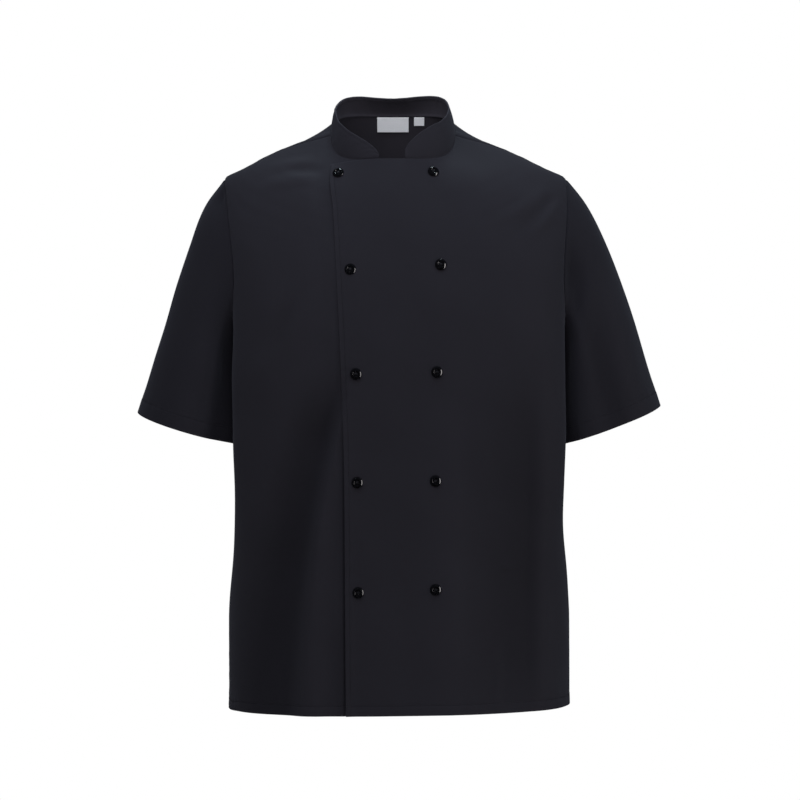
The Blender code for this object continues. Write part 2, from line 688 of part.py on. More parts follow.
def place_on_front(x, z):
    # The angle and level of the point that shows at x and z from the front.
    angle, level = np.array(0.0), np.array(0.5)
    step = SURFACE_STEP
    for _ in range(SEAT_SEARCH_STEPS):
        here = body_form(angle, level)
        by_angle = (body_form(angle + step, level) - here) / step
        by_level = (body_form(angle, level + step) - here) / step
        grid = np.array(((by_angle[0], by_level[0]), (by_angle[2], by_level[2])))
        change = np.linalg.solve(grid, np.array((x - here[0], z - here[2])))
        angle = np.clip(angle + change[0], -SEAT_SEARCH_ANGLE, SEAT_SEARCH_ANGLE)
        level = np.clip(level + change[1], 0.0, SEAT_SEARCH_LEVEL)
    return angle, level


def button_profile():
    # Half of the button's section, from the middle of its face to the middle of its back.
    face = BUTTON_THICKNESS
    well = face - BUTTON_DISH_DEPTH - BUTTON_WELL_DEPTH
    return (
        (0.0, well),
        (BUTTON_WELL_RADIUS - BUTTON_WELL_SLOPE, well),
        (BUTTON_WELL_RADIUS, face - BUTTON_DISH_DEPTH),
        (BUTTON_DISH_RADIUS - BUTTON_DISH_SLOPE, face - BUTTON_DISH_DEPTH),
        (BUTTON_DISH_RADIUS, face),
        (BUTTON_RADIUS - BUTTON_EDGE, face),
        (BUTTON_RADIUS, face - BUTTON_EDGE),
        (BUTTON_RADIUS, BUTTON_EDGE),
        (BUTTON_RADIUS - BUTTON_EDGE, 0.0),
        (0.0, 0.0),
    )


def seat_on_front(x, z):
    # The middle of a button's place and the way the folded cloth faces there.
    angle, level = place_on_front(x, z)
    around = body_surface(angle + SEAT_TURN, level)[0] - body_surface(angle - SEAT_TURN, level)[0]
    upward = body_surface(angle, level + SEAT_CLIMB)[0] - body_surface(angle, level - SEAT_CLIMB)[0]
    return body_surface(angle, level)[0], unit(np.cross(around, upward))


def build_button(name, x, z):
    seat, outward = seat_on_front(x, z)
    bm = bmesh.new()
    corners = [bm.verts.new((radius, 0.0, height)) for radius, height in button_profile()]
    for first, second in zip(corners, corners[1:]):
        bm.edges.new((first, second))
    button = finished(name, bm, BUTTON_BLACK, BUTTON_ROUGHNESS)
    screw = button.modifiers.new("turned", "SCREW")
    screw.axis = "Z"
    screw.steps = BUTTON_STEPS
    screw.render_steps = BUTTON_STEPS
    screw.use_merge_vertices = True
    screw.merge_threshold = MERGE_DISTANCE
    screw.use_normal_calculate = True
    button.rotation_euler = Vector(outward).to_track_quat("Z", "Y").to_euler()
    button.location = Vector(seat + outward * BUTTON_CLEARANCE)


def build_label(name, width, length, middle):
    # A flat tape that follows the inside of the back, below the collar seam.
    top = body_form(math.pi, 1.0)
    lower = body_form(math.pi, 1.0 - LABEL_LEVEL_STEP)
    level_for_length = LABEL_LEVEL_STEP / np.linalg.norm(top - lower)
    drop = LABEL_TOP_MARGIN + length * np.linspace(1.0, 0.0, LABEL_ROWS + 1)[:, None]
    level = 1.0 - drop * level_for_length
    x = middle + width * np.linspace(0.5, -0.5, LABEL_COLUMNS + 1)[None, :]
    angle = math.pi - (x - ring("centre", level)) / ring("half_width", level)
    points, outward = body_surface(angle, level)
    inside = points - outward * (WALL + LABEL_CLEARANCE)
    cloth_wall(name, inside, inside - outward * LABEL_WALL, LABEL_WHITE)


def build():
    for piece in list(bpy.data.objects):
        bpy.data.objects.remove(piece, do_unlink=True)
    if COLLECTION_NAME not in bpy.data.collections:
        group = bpy.data.collections.new(COLLECTION_NAME)
        bpy.context.scene.collection.children.link(group)
    build_front_left()
    build_front_right()
    build_back()
    build_sleeve("sleeve_left", 1)
    build_sleeve("sleeve_right", -1)
    build_collar()
    rows = {}
    for row in BUTTONS:
        button = dict(zip(BUTTON_NAMES, row))
        number = rows.get(button["column"], 0) + 1
        rows[button["column"]] = number
        build_button(f"button_{button['column']}_{number}", button["x"], button["z"])
    for row in LABELS:
        label = dict(zip(LABEL_NAMES, row))
        build_label(label["name"], label["width"], label["length"], label["middle"])


build()
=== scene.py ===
# A black bistro shirt: double-breasted, short-sleeved, with a stand collar, in the form it has when worn.
# X is the viewer's right, Y the back of the shirt and Z up, in metres, with the origin in the neck.
# Left and right in names are the wearer's.

import math

import bmesh
import bpy
import numpy as np
from mathutils import Matrix, Vector


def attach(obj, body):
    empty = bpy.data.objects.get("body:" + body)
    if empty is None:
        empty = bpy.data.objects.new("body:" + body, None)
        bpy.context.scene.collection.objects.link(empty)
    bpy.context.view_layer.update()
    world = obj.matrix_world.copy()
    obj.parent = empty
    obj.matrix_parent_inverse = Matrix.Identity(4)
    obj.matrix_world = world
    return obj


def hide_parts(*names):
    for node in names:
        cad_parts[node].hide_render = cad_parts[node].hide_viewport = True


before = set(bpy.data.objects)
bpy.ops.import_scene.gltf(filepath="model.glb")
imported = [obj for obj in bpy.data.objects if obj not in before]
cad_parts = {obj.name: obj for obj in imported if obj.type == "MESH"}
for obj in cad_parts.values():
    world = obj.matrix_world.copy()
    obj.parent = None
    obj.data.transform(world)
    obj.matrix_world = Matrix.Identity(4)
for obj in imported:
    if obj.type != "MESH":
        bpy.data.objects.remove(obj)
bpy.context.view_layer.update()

# The camera stands level in front of the shirt, as the photographer did.
CAMERA_PLACE = (0.0072, -4.0, -0.3524)
CAMERA_LENS = 137.4
SENSOR_WIDTH = 36.0


def add_to_scene(name, data):
    thing = bpy.data.objects.new(name, data)
    bpy.context.scene.collection.objects.link(thing)
    return thing


camera_lens = bpy.data.cameras.new("camera")
camera_lens.lens = CAMERA_LENS
camera_lens.sensor_width = SENSOR_WIDTH
camera = add_to_scene("camera", camera_lens)
camera.location = CAMERA_PLACE
camera.rotation_euler = (math.radians(90.0), 0.0, 0.0)
bpy.context.scene.camera = camera
bpy.context.scene.view_settings.view_transform = "Standard"

# The two fronts: panels of black twill, each cut from the overlap edge to the side seam and sewn
# there, at the armhole and at the shoulder. The wearer's left front laps over the right one. Its
# edge is folded in and stitched down, and the hem is turned up and stitched.
CLOTH = 0.0012
RING_NAMES = (
    "level", "z_side", "z_front", "z_back", "centre", "half_width",
    "depth_front", "depth_back", "square", "fall", "dent")
RINGS = (
    (0.00, -0.750, -0.7525, -0.750, 0.006, 0.2225, 0.138, 0.140, 2.7, 1.0, 0.00),
    (0.15, -0.640, -0.642, -0.640, 0.006, 0.2225, 0.137, 0.136, 2.6, 1.0, 0.00),
    (0.30, -0.530, -0.532, -0.530, 0.006, 0.2235, 0.136, 0.133, 2.7, 1.0, 0.06),
    (0.45, -0.415, -0.422, -0.415, 0.006, 0.2345, 0.135, 0.131, 2.9, 1.0, 0.235),
    (0.58, -0.305, -0.325, -0.310, 0.006, 0.2350, 0.133, 0.131, 3.0, 1.0, 0.255),
    (0.70, -0.205, -0.245, -0.225, 0.006, 0.2250, 0.128, 0.130, 3.0, 1.0, 0.06),
    (0.80, -0.125, -0.182, -0.155, 0.005, 0.2300, 0.119, 0.123, 2.6, 0.7, 0.00),
    (0.88, -0.063, -0.130, -0.095, 0.001, 0.2230, 0.107, 0.112, 2.1, 0.4, 0.00),
    (0.90, -0.051, -0.114, -0.073, 0.000, 0.2000, 0.101, 0.104, 2.05, 0.5, 0.00),
    (0.94, -0.0265, -0.084, -0.030, -0.002, 0.1520, 0.088, 0.088, 2.0, 0.8, 0.00),
    (1.00, 0.000, -0.041, 0.0255, -0.002, 0.0810, 0.068, 0.062, 2.4, 2.0, 0.00),
)
RIDGE_SOFTNESS = 0.12
RING_SPREAD = 0.085
RING_SPREAD_REACH = 0.55
RING_SPREAD_STEPS = ((1, -1.0), (2, -0.6), (3, -0.3), (3, 0.0), (3, 0.3), (2, 0.6), (1, 1.0))
DENT_REACH = 0.050
HEM_TILT = 0.013
HEM_TILT_LEVEL = 0.30
SHIRT_MIDDLE = 0.006
UNDERARM_LEVEL = 0.58
TIP_LEVEL = 0.88
BITE_FRONT = math.radians(28.5)
BITE_BACK = math.radians(29)
BITE_ROUNDNESS = 0.68
SHOULDER_SEAM_LEVEL = 0.92
SHOULDER_SEAM_TURN = math.radians(7.5)
OVERLAP_EDGE = (
    # z, x
    (-0.760, -0.0612),
    (-0.589, -0.0624),
    (-0.454, -0.0634),
    (-0.321, -0.0676),
    (-0.216, -0.0725),
    (-0.155, -0.0759),
    (-0.108, -0.0787),
    (-0.068, -0.0830),
    (-0.040, -0.0815),
)
OVERLAP_TOP = (
    # x, z
    (-0.0900, -0.0480),
    (-0.0818, -0.0470),
    (-0.0625, -0.0438),
    (-0.0417, -0.0418),
    (-0.0172, -0.0404),
    (0.0000, -0.0400),
)
UNDERLAP_TOP_DROP = 0.006
UNDERLAP_TOP_ANGLE = math.radians(12)
LAP_DROP = 0.0020
LAP_CLEAR = 0.016
LAP_BLEND = 0.022
LAP_SEAM_FADE = math.radians(16)

# Creases, each a soft trough (depth below zero) or ridge from its start to its end, bowed to the
# right of a straight line, narrower at its start by the share flare, and crisp on its right. Zeros
# at the end of a row are left off.
PLAIN_CREASE = (0.0, 0.0, 0.0)
FRONT_CREASES = (
    # x and z of start and end, reach to the left and right, depth, fade at start and end, bow, flare, crisp
    (-0.064, -0.300, -0.152, -0.765, 0.090, 0.034, -0.0125, 0.120, 0.001, -0.016, 0.45, 1.0),
    (-0.085, -0.420, -0.105, -0.765, 0.020, 0.022, 0.0020, 0.120, 0.001, -0.004),
    (0.074, -0.240, 0.072, -0.765, 0.060, 0.026, 0.0024, 0.200, 0.001),
    (0.172, -0.264, 0.170, -0.800, 0.090, 0.026, -0.0090, 0.220, 0.120),
    (-0.122, -0.205, -0.172, -0.318, 0.020, 0.015, -0.0024, 0.055, 0.060, 0.003),
    (-0.142, -0.240, -0.186, -0.340, 0.018, 0.016, 0.0014, 0.045, 0.050, 0.003),
    (-0.098, -0.037, -0.170, -0.054, 0.010, 0.010, 0.0020, 0.030, 0.040),
    (-0.086, -0.052, -0.150, -0.056, 0.011, 0.012, -0.0022, 0.020, 0.030),
    (-0.093, -0.064, -0.186, -0.077, 0.013, 0.014, 0.0018, 0.030, 0.040),
    (0.206, -0.070, 0.118, -0.132, 0.014, 0.012, 0.0013, 0.025, 0.055, 0.004),
    (0.210, -0.082, 0.138, -0.152, 0.012, 0.013, -0.0014, 0.020, 0.050, 0.004),
    (0.214, -0.090, 0.172, -0.150, 0.009, 0.010, 0.0011, 0.015, 0.035, 0.002),
    (0.133, -0.563, 0.158, -0.566, 0.004, 0.005, 0.0010, 0.010, 0.012),
    (0.133, -0.655, 0.130, -0.757, 0.007, 0.008, 0.0014, 0.040, 0.020, 0.002),
    (0.098, -0.690, 0.094, -0.760, 0.008, 0.008, 0.0010, 0.035, 0.015),
    (-0.150, -0.665, -0.146, -0.757, 0.010, 0.010, 0.0012, 0.040, 0.020),
)
BACK_CREASES = (
    (-0.098, -0.260, -0.128, -0.765, 0.034, 0.040, -0.0090, 0.180, 0.001, 0.006, 0.30),
    (-0.030, -0.380, -0.040, -0.765, 0.036, 0.034, 0.0050, 0.150, 0.001),
    (0.070, -0.330, 0.098, -0.765, 0.030, 0.038, -0.0080, 0.160, 0.001, -0.006, 0.30),
    (0.150, -0.280, 0.146, -0.765, 0.028, 0.028, 0.0040, 0.140, 0.001),
    (-0.190, -0.085, -0.110, -0.150, 0.012, 0.012, 0.0018, 0.030, 0.050, 0.004),
    (0.188, -0.080, 0.098, -0.140, 0.011, 0.013, 0.0020, 0.030, 0.050, -0.004),
    (-0.150, -0.330, -0.085, -0.395, 0.014, 0.014, -0.0026, 0.035, 0.040, 0.004),
    (0.160, -0.300, 0.110, -0.350, 0.013, 0.015, -0.0024, 0.035, 0.035, -0.003),
    (0.020, -0.670, 0.024, -0.758, 0.008, 0.009, 0.0012, 0.040, 0.020),
)
CREASE_FACING = 0.030

# The cloth's slight unevenness. Its waves also run round the depth of the body, by a share.
RIPPLE_DEPTH_SHARE = 0.7
RIPPLES = (
    # waves per metre across and down, phase, height
    (9.0, 2.5, 0.4, 0.00050),
    (-6.0, 5.0, 1.9, 0.00040),
    (14.0, -3.5, 3.1, 0.00026),
    (4.0, 11.0, 5.2, 0.00022),
    (21.0, 6.0, 2.6, 0.00012),
)

# Seams, hems and edges. The lap comes open towards the hem: the over-panel's edge lifts and the
# under-panel sinks beneath it, so that the edge throws a shadow there.
SEAM_TUCK = 0.0011
SEAM_TUCK_REACH = 0.0030
SEAM_SHARE_REACH = 0.008
SEAM_FOLD_SHIFT = 0.0005
FOLD_BACK_COSINE = 0.2
FOLD_BACK_BLEND = 0.4
TOP_TUCK = 0.5
UNDERARM_REACH = 0.012
PUCKER_HEIGHT = 0.00022
PUCKER_REACH = 0.011
PUCKER_WAVE = 0.017
PUCKER_DRIFT, PUCKER_DRIFT_RATE = 1.7, 0.31
PUCKER_SLOW, PUCKER_SLOW_RATE, PUCKER_SLOW_PHASE = 0.5, 0.53, 1.1
EDGE_PUCKER = 0.6
BODY_HEM = 0.013
HEM_RAISE = 0.00030
HEM_RAISE_FADE = 0.002
HEM_ALLOWANCE = 0.0009
ALLOWANCE_FADE = 0.0008
HEM_MARGIN = 0.001
FOLD_MARGIN = 0.003
FOLD_FADE = 0.002
STITCH_DIP = 0.00022
STITCH_DIP_REACH = 0.0014
OVERLAP_STITCH = 0.0060
OVERLAP_EDGE_RAISE = 0.0003
OVERLAP_EDGE_LIFT = 0.0020
OVERLAP_LIFT_LEVEL = 0.56
OVERLAP_LIFT_FADE = 0.27
OVERLAP_LIFT_REACH = 0.016
UNDERLAP_SINK = 0.0024
UNDERLAP_SINK_REACH = 0.0034
# Painted shade and light in the cloth's colour: darker in crease troughs, lighter on ridges; real wear
# lightens folded edges.
PAINTED_SHADE_FLAT = 0.14
PAINTED_SHADE_PER_METRE = 13.5
WORN_EDGE = 0.05
WORN_EDGE_REACH = 0.0012
# The inside is made lighter: painted light where little light reaches, and the greyer reverse face of the
# twill.
INSIDE_GREYER_AND_LIT = 0.80
RIPPLE_FADE = 0.05
EDGE_RIPPLE_FADE = 0.03

# How finely the panels are divided, with closer rows and columns at their edges and stitching
EDGE_STEPS = np.array((0.00006, 0.00022, 0.00048, 0.00085, 0.0015, 0.0024, 0.0036))
STITCH_STEPS = np.array((-0.0016, -0.0008, 0.0, 0.0008, 0.0016))
FOLD_STEPS = OVERLAP_STITCH + np.array((-0.0012, 0.0, 0.0012))
UNDERLAP_STEPS = np.arange(0.0925, 0.1235, 0.001)
FRONT_WIDTH = 0.34
BACK_WIDTH = 0.60
FRONT_COLUMNS = 84
BACK_COLUMNS = 132
BODY_ROWS = 100
ARMHOLE_ROWS = 72
NECK_ROWS = 26
LEVEL_PER_METRE = 1.364
NECK_LEVEL_PER_METRE = 1.05
OUTWARD_STEP = 0.002
EDGE_SEARCH_LEVELS = 801
EDGE_SEARCH_START = math.radians(-85)
EDGE_SEARCH_HALVINGS = 30
TOP_SEARCH_LEVELS = 161
JOIN_DISTANCE = 0.00002


def smooth(share):
    share = np.clip(share, 0.0, 1.0)
    return share * share * (3.0 - 2.0 * share)


def unit(vectors):
    return vectors / np.linalg.norm(vectors, axis=-1, keepdims=True)


def eased(knots, values, at):
    # A smooth curve through the values that never swings past them.
    steps = np.diff(knots)
    slopes = np.diff(values) / steps
    tangents = np.empty_like(values)
    tangents[0] = slopes[0]
    tangents[-1] = slopes[-1]
    before, after = slopes[:-1], slopes[1:]
    same_way = before * after > 0.0
    total = np.where(same_way, before + after, 1.0)
    tangents[1:-1] = np.where(same_way, 2.0 * before * after / total, 0.0)
    at = np.clip(at, knots[0], knots[-1])
    span = np.clip(np.searchsorted(knots, at, side="right") - 1, 0, len(steps) - 1)
    width = steps[span]
    share = (at - knots[span]) / width
    rise = values[span + 1] - values[span]
    bend_in = tangents[span] * width
    bend_out = tangents[span + 1] * width
    cubic = bend_in + bend_out - 2.0 * rise
    square = 3.0 * rise - 2.0 * bend_in - bend_out
    return values[span] + share * (bend_in + share * (square + share * cubic))


ring_columns = dict(zip(RING_NAMES, np.array(RINGS).T))


def ring(name, level):
    return eased(ring_columns["level"], ring_columns[name], level)


def ring_place(angle, level):
    # One ring round the body: angle 0 is the middle of the front, a quarter turn the viewer's right.
    sine, cosine = np.sin(angle), np.cos(angle)
    square = ring("square", level)
    reach = (np.abs(sine) ** square + np.abs(cosine) ** square) ** (-1.0 / square)
    along = reach * cosine
    in_front = cosine > 0.0
    y = -along * np.where(in_front, ring("depth_front", level), ring("depth_back", level))
    pressed = ring("dent", level) * np.exp(-(y / DENT_REACH) ** 2)
    x = ring("centre", level) + reach * sine * ring("half_width", level) * (1.0 - pressed)
    z_side = ring("z_side", level)
    z_end = np.where(in_front, ring("z_front", level), ring("z_back", level))
    away = np.clip(np.abs(along), 0.0, 1.0)
    softened = away ** 2 * (1.0 + RIDGE_SOFTNESS) / (away + RIDGE_SOFTNESS)
    fall = ring("fall", level)
    early = 1.0 - (1.0 - softened) ** np.maximum(fall, 1.0)
    late = softened ** (1.0 / np.minimum(fall, 1.0))
    tilt = HEM_TILT * (x - SHIRT_MIDDLE) * (1.0 - smooth(level / HEM_TILT_LEVEL))
    z = z_side + (z_end - z_side) * np.where(fall > 1.0, early, late) + tilt
    return np.stack((x, y, z), axis=-1)


def body_place(angle, level):
    # Away from the shoulder ridge the rings are averaged with their neighbours.
    angle, level = np.broadcast_arrays(np.asarray(angle, float), np.asarray(level, float))
    room = np.minimum(1.0 - level, level)
    spread = np.minimum(RING_SPREAD * smooth(np.abs(np.cos(angle)) / RING_SPREAD_REACH), room)
    total = sum(weight * ring_place(angle, level + shift * spread) for weight, shift in RING_SPREAD_STEPS)
    return total / sum(weight for weight, shift in RING_SPREAD_STEPS)


def body_outward(angle, level):
    step = OUTWARD_STEP
    inside = np.clip(level, step, 1.0 - step)
    around = body_place(angle + step, inside) - body_place(angle - step, inside)
    upward = body_place(angle, inside + step) - body_place(angle, inside - step)
    return unit(np.cross(around, upward))


def crease_height(points, creases):
    x, z = points[..., 0], points[..., 2]
    height = np.zeros_like(x)
    for row in creases:
        x_start, z_start, x_end, z_end, reach_left, reach_right, depth, *shape = row + PLAIN_CREASE
        start_fade, end_fade, bow, flare, crisp = shape[:5]
        length = math.hypot(x_end - x_start, z_end - z_start)
        run_x, run_z = (x_end - x_start) / length, (z_end - z_start) / length
        off_x, off_z = x - x_start, z - z_start
        along = off_x * run_x + off_z * run_z
        share = np.clip(along / length, 0.0, 1.0)
        across = off_z * run_x - off_x * run_z - bow * 4.0 * share * (1.0 - share)
        on_right = across > 0.0
        reach = np.where(on_right, reach_right, reach_left)
        near = np.clip(1.0 - np.abs(across) / (reach * (1.0 - flare * (1.0 - share))), 0.0, 1.0)
        crisp = np.where(on_right, crisp, 0.0)
        profile = smooth(near) * (1.0 - crisp) + np.sin(near * math.pi / 2.0) * crisp
        height += depth * profile * smooth(along / start_fade) * smooth((length - along) / end_fade)
    return height


def ripple_height(points):
    across = points[..., 0] + RIPPLE_DEPTH_SHARE * points[..., 1]
    height = np.zeros_like(across)
    for waves_across, waves_down, phase, size in RIPPLES:
        turn = 2.0 * math.pi * (waves_across * across + waves_down * points[..., 2])
        height += size * np.sin(turn + phase)
    return height


def body_creases(points):
    in_front = smooth(-points[..., 1] / CREASE_FACING)
    behind = smooth(points[..., 1] / CREASE_FACING)
    height = crease_height(points, FRONT_CREASES) * in_front
    return height + crease_height(points, BACK_CREASES) * behind


def body_surface(angle, level):
    # The outside of the body with its creases, and the outward direction at each point.
    points = body_place(angle, level)
    outward = body_outward(angle, level)
    return points + outward * body_creases(points)[..., None], outward


def armhole_level(turn):
    # turn runs from 0 at the underarm to 1 at the shoulder tip.
    return UNDERARM_LEVEL + (TIP_LEVEL - UNDERARM_LEVEL) * (1.0 - np.cos(math.pi * turn)) / 2.0


def side_angle(level, front):
    # Where a front or the back ends: side seam, armhole, then shoulder seam.
    share = np.clip((level - UNDERARM_LEVEL) / (TIP_LEVEL - UNDERARM_LEVEL), 0.0, 1.0)
    bite = BITE_FRONT if front else BITE_BACK
    armhole = bite * np.clip(4.0 * share * (1.0 - share), 0.0, 1.0) ** BITE_ROUNDNESS
    above = np.clip((level - SHOULDER_SEAM_LEVEL) / (1.0 - SHOULDER_SEAM_LEVEL), 0.0, 1.0)
    return math.pi / 2.0 - (armhole if front else -armhole) - SHOULDER_SEAM_TURN * above


# The angle at which each level of the body meets the over-panel's edge, found by halving.
edge_z, edge_x = np.array(OVERLAP_EDGE).T
edge_levels = np.linspace(0.0, 1.0, EDGE_SEARCH_LEVELS)
low_angle = np.full_like(edge_levels, EDGE_SEARCH_START)
high_angle = np.zeros_like(edge_levels)
for _ in range(EDGE_SEARCH_HALVINGS):
    middle_angle = (low_angle + high_angle) / 2.0
    edge_points = body_place(middle_angle, edge_levels)
    beyond_edge = edge_points[..., 0] < eased(edge_z, edge_x, edge_points[..., 2])
    low_angle = np.where(beyond_edge, middle_angle, low_angle)
    high_angle = np.where(beyond_edge, high_angle, middle_angle)
edge_angles = (low_angle + high_angle) / 2.0


def overlap_angle(level):
    return np.interp(level, edge_levels, edge_angles)


def panel_levels():
    # Rows from the hem to the neck, closer together at the hem, its stitching and the neckline.
    lower = np.linspace(0.0, UNDERARM_LEVEL, BODY_ROWS + 1)
    hem = np.concatenate((EDGE_STEPS, BODY_HEM + STITCH_STEPS)) * LEVEL_PER_METRE
    middle = armhole_level(np.arange(1, ARMHOLE_ROWS + 1) / ARMHOLE_ROWS)
    upper = np.linspace(TIP_LEVEL, 1.0, NECK_ROWS + 1)[1:]
    neck = 1.0 - EDGE_STEPS * NECK_LEVEL_PER_METRE
    below = np.sort(np.concatenate((lower, hem)))
    above = np.sort(np.concatenate((upper, neck)))
    return np.concatenate((below, middle, above))


def panel_shares(count, width, extra=()):
    # Columns across a panel of about that width, closer together at both edges.
    steps = EDGE_STEPS / width
    inner = np.linspace(0.0, 1.0, count + 1)
    return np.sort(np.concatenate((inner, steps, 1.0 - steps, np.array(extra) / width)))[None, :]


def lowered_top(levels, lowered):
    # Above the shoulder tips the rows close up, so that the lapped top edge lies lower.
    share = np.clip((levels - TIP_LEVEL) / (1.0 - TIP_LEVEL), 0.0, 1.0)
    return levels - lowered * share


def spread_columns(edge, seam, share):
    side = math.pi / 2.0
    return edge + (side - edge) * share + (seam - side) * share ** 2


def over_top_drop(share):
    # How far below the neckline's level each column of the over-panel meets its slanting top edge.
    tried = np.linspace(TIP_LEVEL, 1.0, TOP_SEARCH_LEVELS)[:, None]
    angle = spread_columns(overlap_angle(tried), side_angle(tried, True), share)
    spots = body_place(angle, tried)
    top_x, top_z = np.array(OVERLAP_TOP).T
    above_edge = spots[..., 2] - np.interp(spots[..., 0], top_x, top_z)
    drops = [1.0 - np.interp(0.0, column_above, tried[:, 0]) for column_above in above_edge.T]
    return np.where(angle[-1] < 0.0, drops, 0.0)


def lifted_share(level):
    # How far the lap has come open: not at all at the chest and fully at the hem.
    return smooth((OVERLAP_LIFT_LEVEL - level) / OVERLAP_LIFT_FADE)


def under_drop(angle, level):
    # The under-panel lies inside the over-panel and rises to its own surface past the edge.
    beyond = (overlap_angle(level) - angle) * ring("half_width", level)
    from_seam = angle + side_angle(level, True)
    drop = LAP_DROP * (1.0 - smooth((beyond - LAP_CLEAR) / LAP_BLEND)) * smooth(from_seam / LAP_SEAM_FADE)
    return drop + UNDERLAP_SINK * (1.0 - smooth(beyond / UNDERLAP_SINK_REACH)) * lifted_share(level)


def run_along(points, axis):
    # The distance covered from the first point to each point, along one axis of a grid.
    steps = np.linalg.norm(np.diff(points, axis=axis), axis=-1)
    start = np.zeros_like(np.take(steps, [0], axis=axis))
    return np.concatenate((start, np.cumsum(steps, axis=axis)), axis=axis)


def edge_distances(points):
    # How far each point of a grid lies from its first and last column and its first and last row.
    across, along = run_along(points, 1), run_along(points, 0)
    return across, across[:, -1:] - across, along, along[-1:] - along


def seam_tuck(distance):
    # How far the cloth dips as it turns in at a seam.
    return SEAM_TUCK * (1.0 - smooth(distance / SEAM_TUCK_REACH))


def pucker(distance, run):
    # The small gathers that a line of stitching draws into the cloth beside it.
    turn = 2.0 * math.pi * run / PUCKER_WAVE
    wave = np.sin(turn + PUCKER_DRIFT * np.sin(turn * PUCKER_DRIFT_RATE))
    wave += PUCKER_SLOW * np.sin(turn * PUCKER_SLOW_RATE + PUCKER_SLOW_PHASE)
    return PUCKER_HEIGHT * wave * np.exp(-(distance / PUCKER_REACH) ** 2)


def stitch_dip(distance):
    return -STITCH_DIP * np.exp(-(distance / STITCH_DIP_REACH) ** 2)


def rounded(half, *distances):
    # Half the thickness near folded edges, which rounds off to nothing.
    share = np.clip(1.0 - np.minimum.reduce(distances) / half, 0.0, 1.0)
    return half * np.sqrt(1.0 - share ** 2)


def seam_agreement(own, other):
    # 1 where two pieces leave their seam facing the same way, 0 where they fold back on each other.
    cosine = np.sum(own * other, axis=-1, keepdims=True)
    return smooth((cosine - FOLD_BACK_COSINE) / FOLD_BACK_BLEND)


def shared_direction(own, other):
    return unit(own + other * seam_agreement(own, other))


def seam_shape(distance, agreement):
    # Cloth dips into a flat seam. Where the pieces fold back, both keep to the seam's own line.
    near = 1.0 - smooth(distance / SEAM_SHARE_REACH)
    return SEAM_FOLD_SHIFT * (1.0 - agreement) * near - seam_tuck(distance) * agreement


def cloth_shell(name, face, outward, above, below, across, along, wear_and_painted_shade):
    """A wall of cloth. face is its outside where it is flat, above and below how far its two sides
    lie from the middle of the cloth, and across and along the run of the grain, in metres."""
    bm = bmesh.new()
    grain = bm.loops.layers.uv.new("grain")
    wear_and_shade_layer = bm.verts.layers.float.new("wear_and_painted_shade")
    rows, columns = face.shape[:2]
    middle = face - outward * CLOTH / 2.0
    for side in (1.0, -1.0):
        made = bmesh.ops.create_grid(bm, x_segments=columns - 1, y_segments=rows - 1, size=1.0)
        offset = above if side > 0.0 else -below
        points = middle + outward * offset[..., None]
        places = {}
        for vertex in made["verts"]:
            column = round((vertex.co.x + 1.0) / 2.0 * (columns - 1))
            row = round((vertex.co.y + 1.0) / 2.0 * (rows - 1))
            vertex.co = points[row, column]
            # Inside faces get painted light, and the twill's greyer reverse.
            vertex[wear_and_shade_layer] = wear_and_painted_shade[row, column] + (INSIDE_GREYER_AND_LIT if side < 0.0 else 0.0)
            places[vertex] = (across[row, column], along[row, column])
        faces = {cell for vertex in made["verts"] for cell in vertex.link_faces}
        for cell in faces:
            for loop in cell.loops:
                loop[grain].uv = places[loop.vert]
        if side < 0.0:
            bmesh.ops.reverse_faces(bm, faces=list(faces))
    bmesh.ops.remove_doubles(bm, verts=bm.verts, dist=JOIN_DISTANCE)
    return as_piece(name, bm)


def as_piece(name, bm, flat=False):
    # A finished piece, in place, with smooth shading.
    mesh = bpy.data.meshes.new(name)
    bm.to_mesh(mesh)
    bm.free()
    mesh.polygons.foreach_set("use_smooth", [not flat] * len(mesh.polygons))
    return add_to_scene(name, mesh)


STITCH_PITCH = 0.0029
STITCH_LENGTH = 0.0023
STITCH_RADIUS = 0.00024
STITCH_SINK = 0.45
HEM_COLUMNS = slice(3, -3)
EDGE_ROWS = slice(3, -4)


def sewn_line(bm, points, outward):
    """A run of stitches along a line on the cloth, each a small round bead of thread pulled into it."""
    run = run_along(points, 0)
    count = int(run[-1] / STITCH_PITCH)
    pitch = run[-1] / count
    line = bmesh.new()
    lying = Matrix.Rotation(math.radians(90.0), 4, "Y")
    bead = Matrix.Diagonal((STITCH_LENGTH / 2.0, STITCH_RADIUS, STITCH_RADIUS, 1.0))
    place = Matrix.Translation((pitch / 2.0, 0.0, STITCH_RADIUS * (1.0 - STITCH_SINK)))
    bmesh.ops.create_uvsphere(line, u_segments=6, v_segments=4, radius=1.0, matrix=place @ bead @ lying)
    bmesh.ops.spin(
        line, geom=line.verts[:] + line.edges[:] + line.faces[:], cent=(0.0, 0.0, 0.0),
        axis=(0.0, 0.0, 1.0), dvec=(pitch, 0.0, 0.0), angle=0.0, steps=count - 1, use_duplicate=True)
    straight = np.array([vertex.co for vertex in line.verts])
    ahead = unit(np.gradient(points, axis=0))
    centre, ahead, up = [
        np.stack([np.interp(straight[:, 0], run, field[:, axis]) for axis in range(3)], axis=-1)
        for field in (points, ahead, outward)]
    aside = unit(np.cross(up, ahead))
    laid = centre + aside * straight[:, 1:2] + unit(np.cross(ahead, aside)) * straight[:, 2:]
    for vertex, spot in zip(line.verts, laid):
        vertex.co = spot
    sewn = bpy.data.meshes.new("stitches")
    line.to_mesh(sewn)
    line.free()
    bm.from_mesh(sewn)
    bpy.data.meshes.remove(sewn)


def line_at(points, run, distance):
    # One point on each row, at that distance from the row's start.
    return np.array([
        [np.interp(distance, row_run, row_points[:, axis]) for axis in range(3)]
        for row_points, row_run in zip(points, run)])


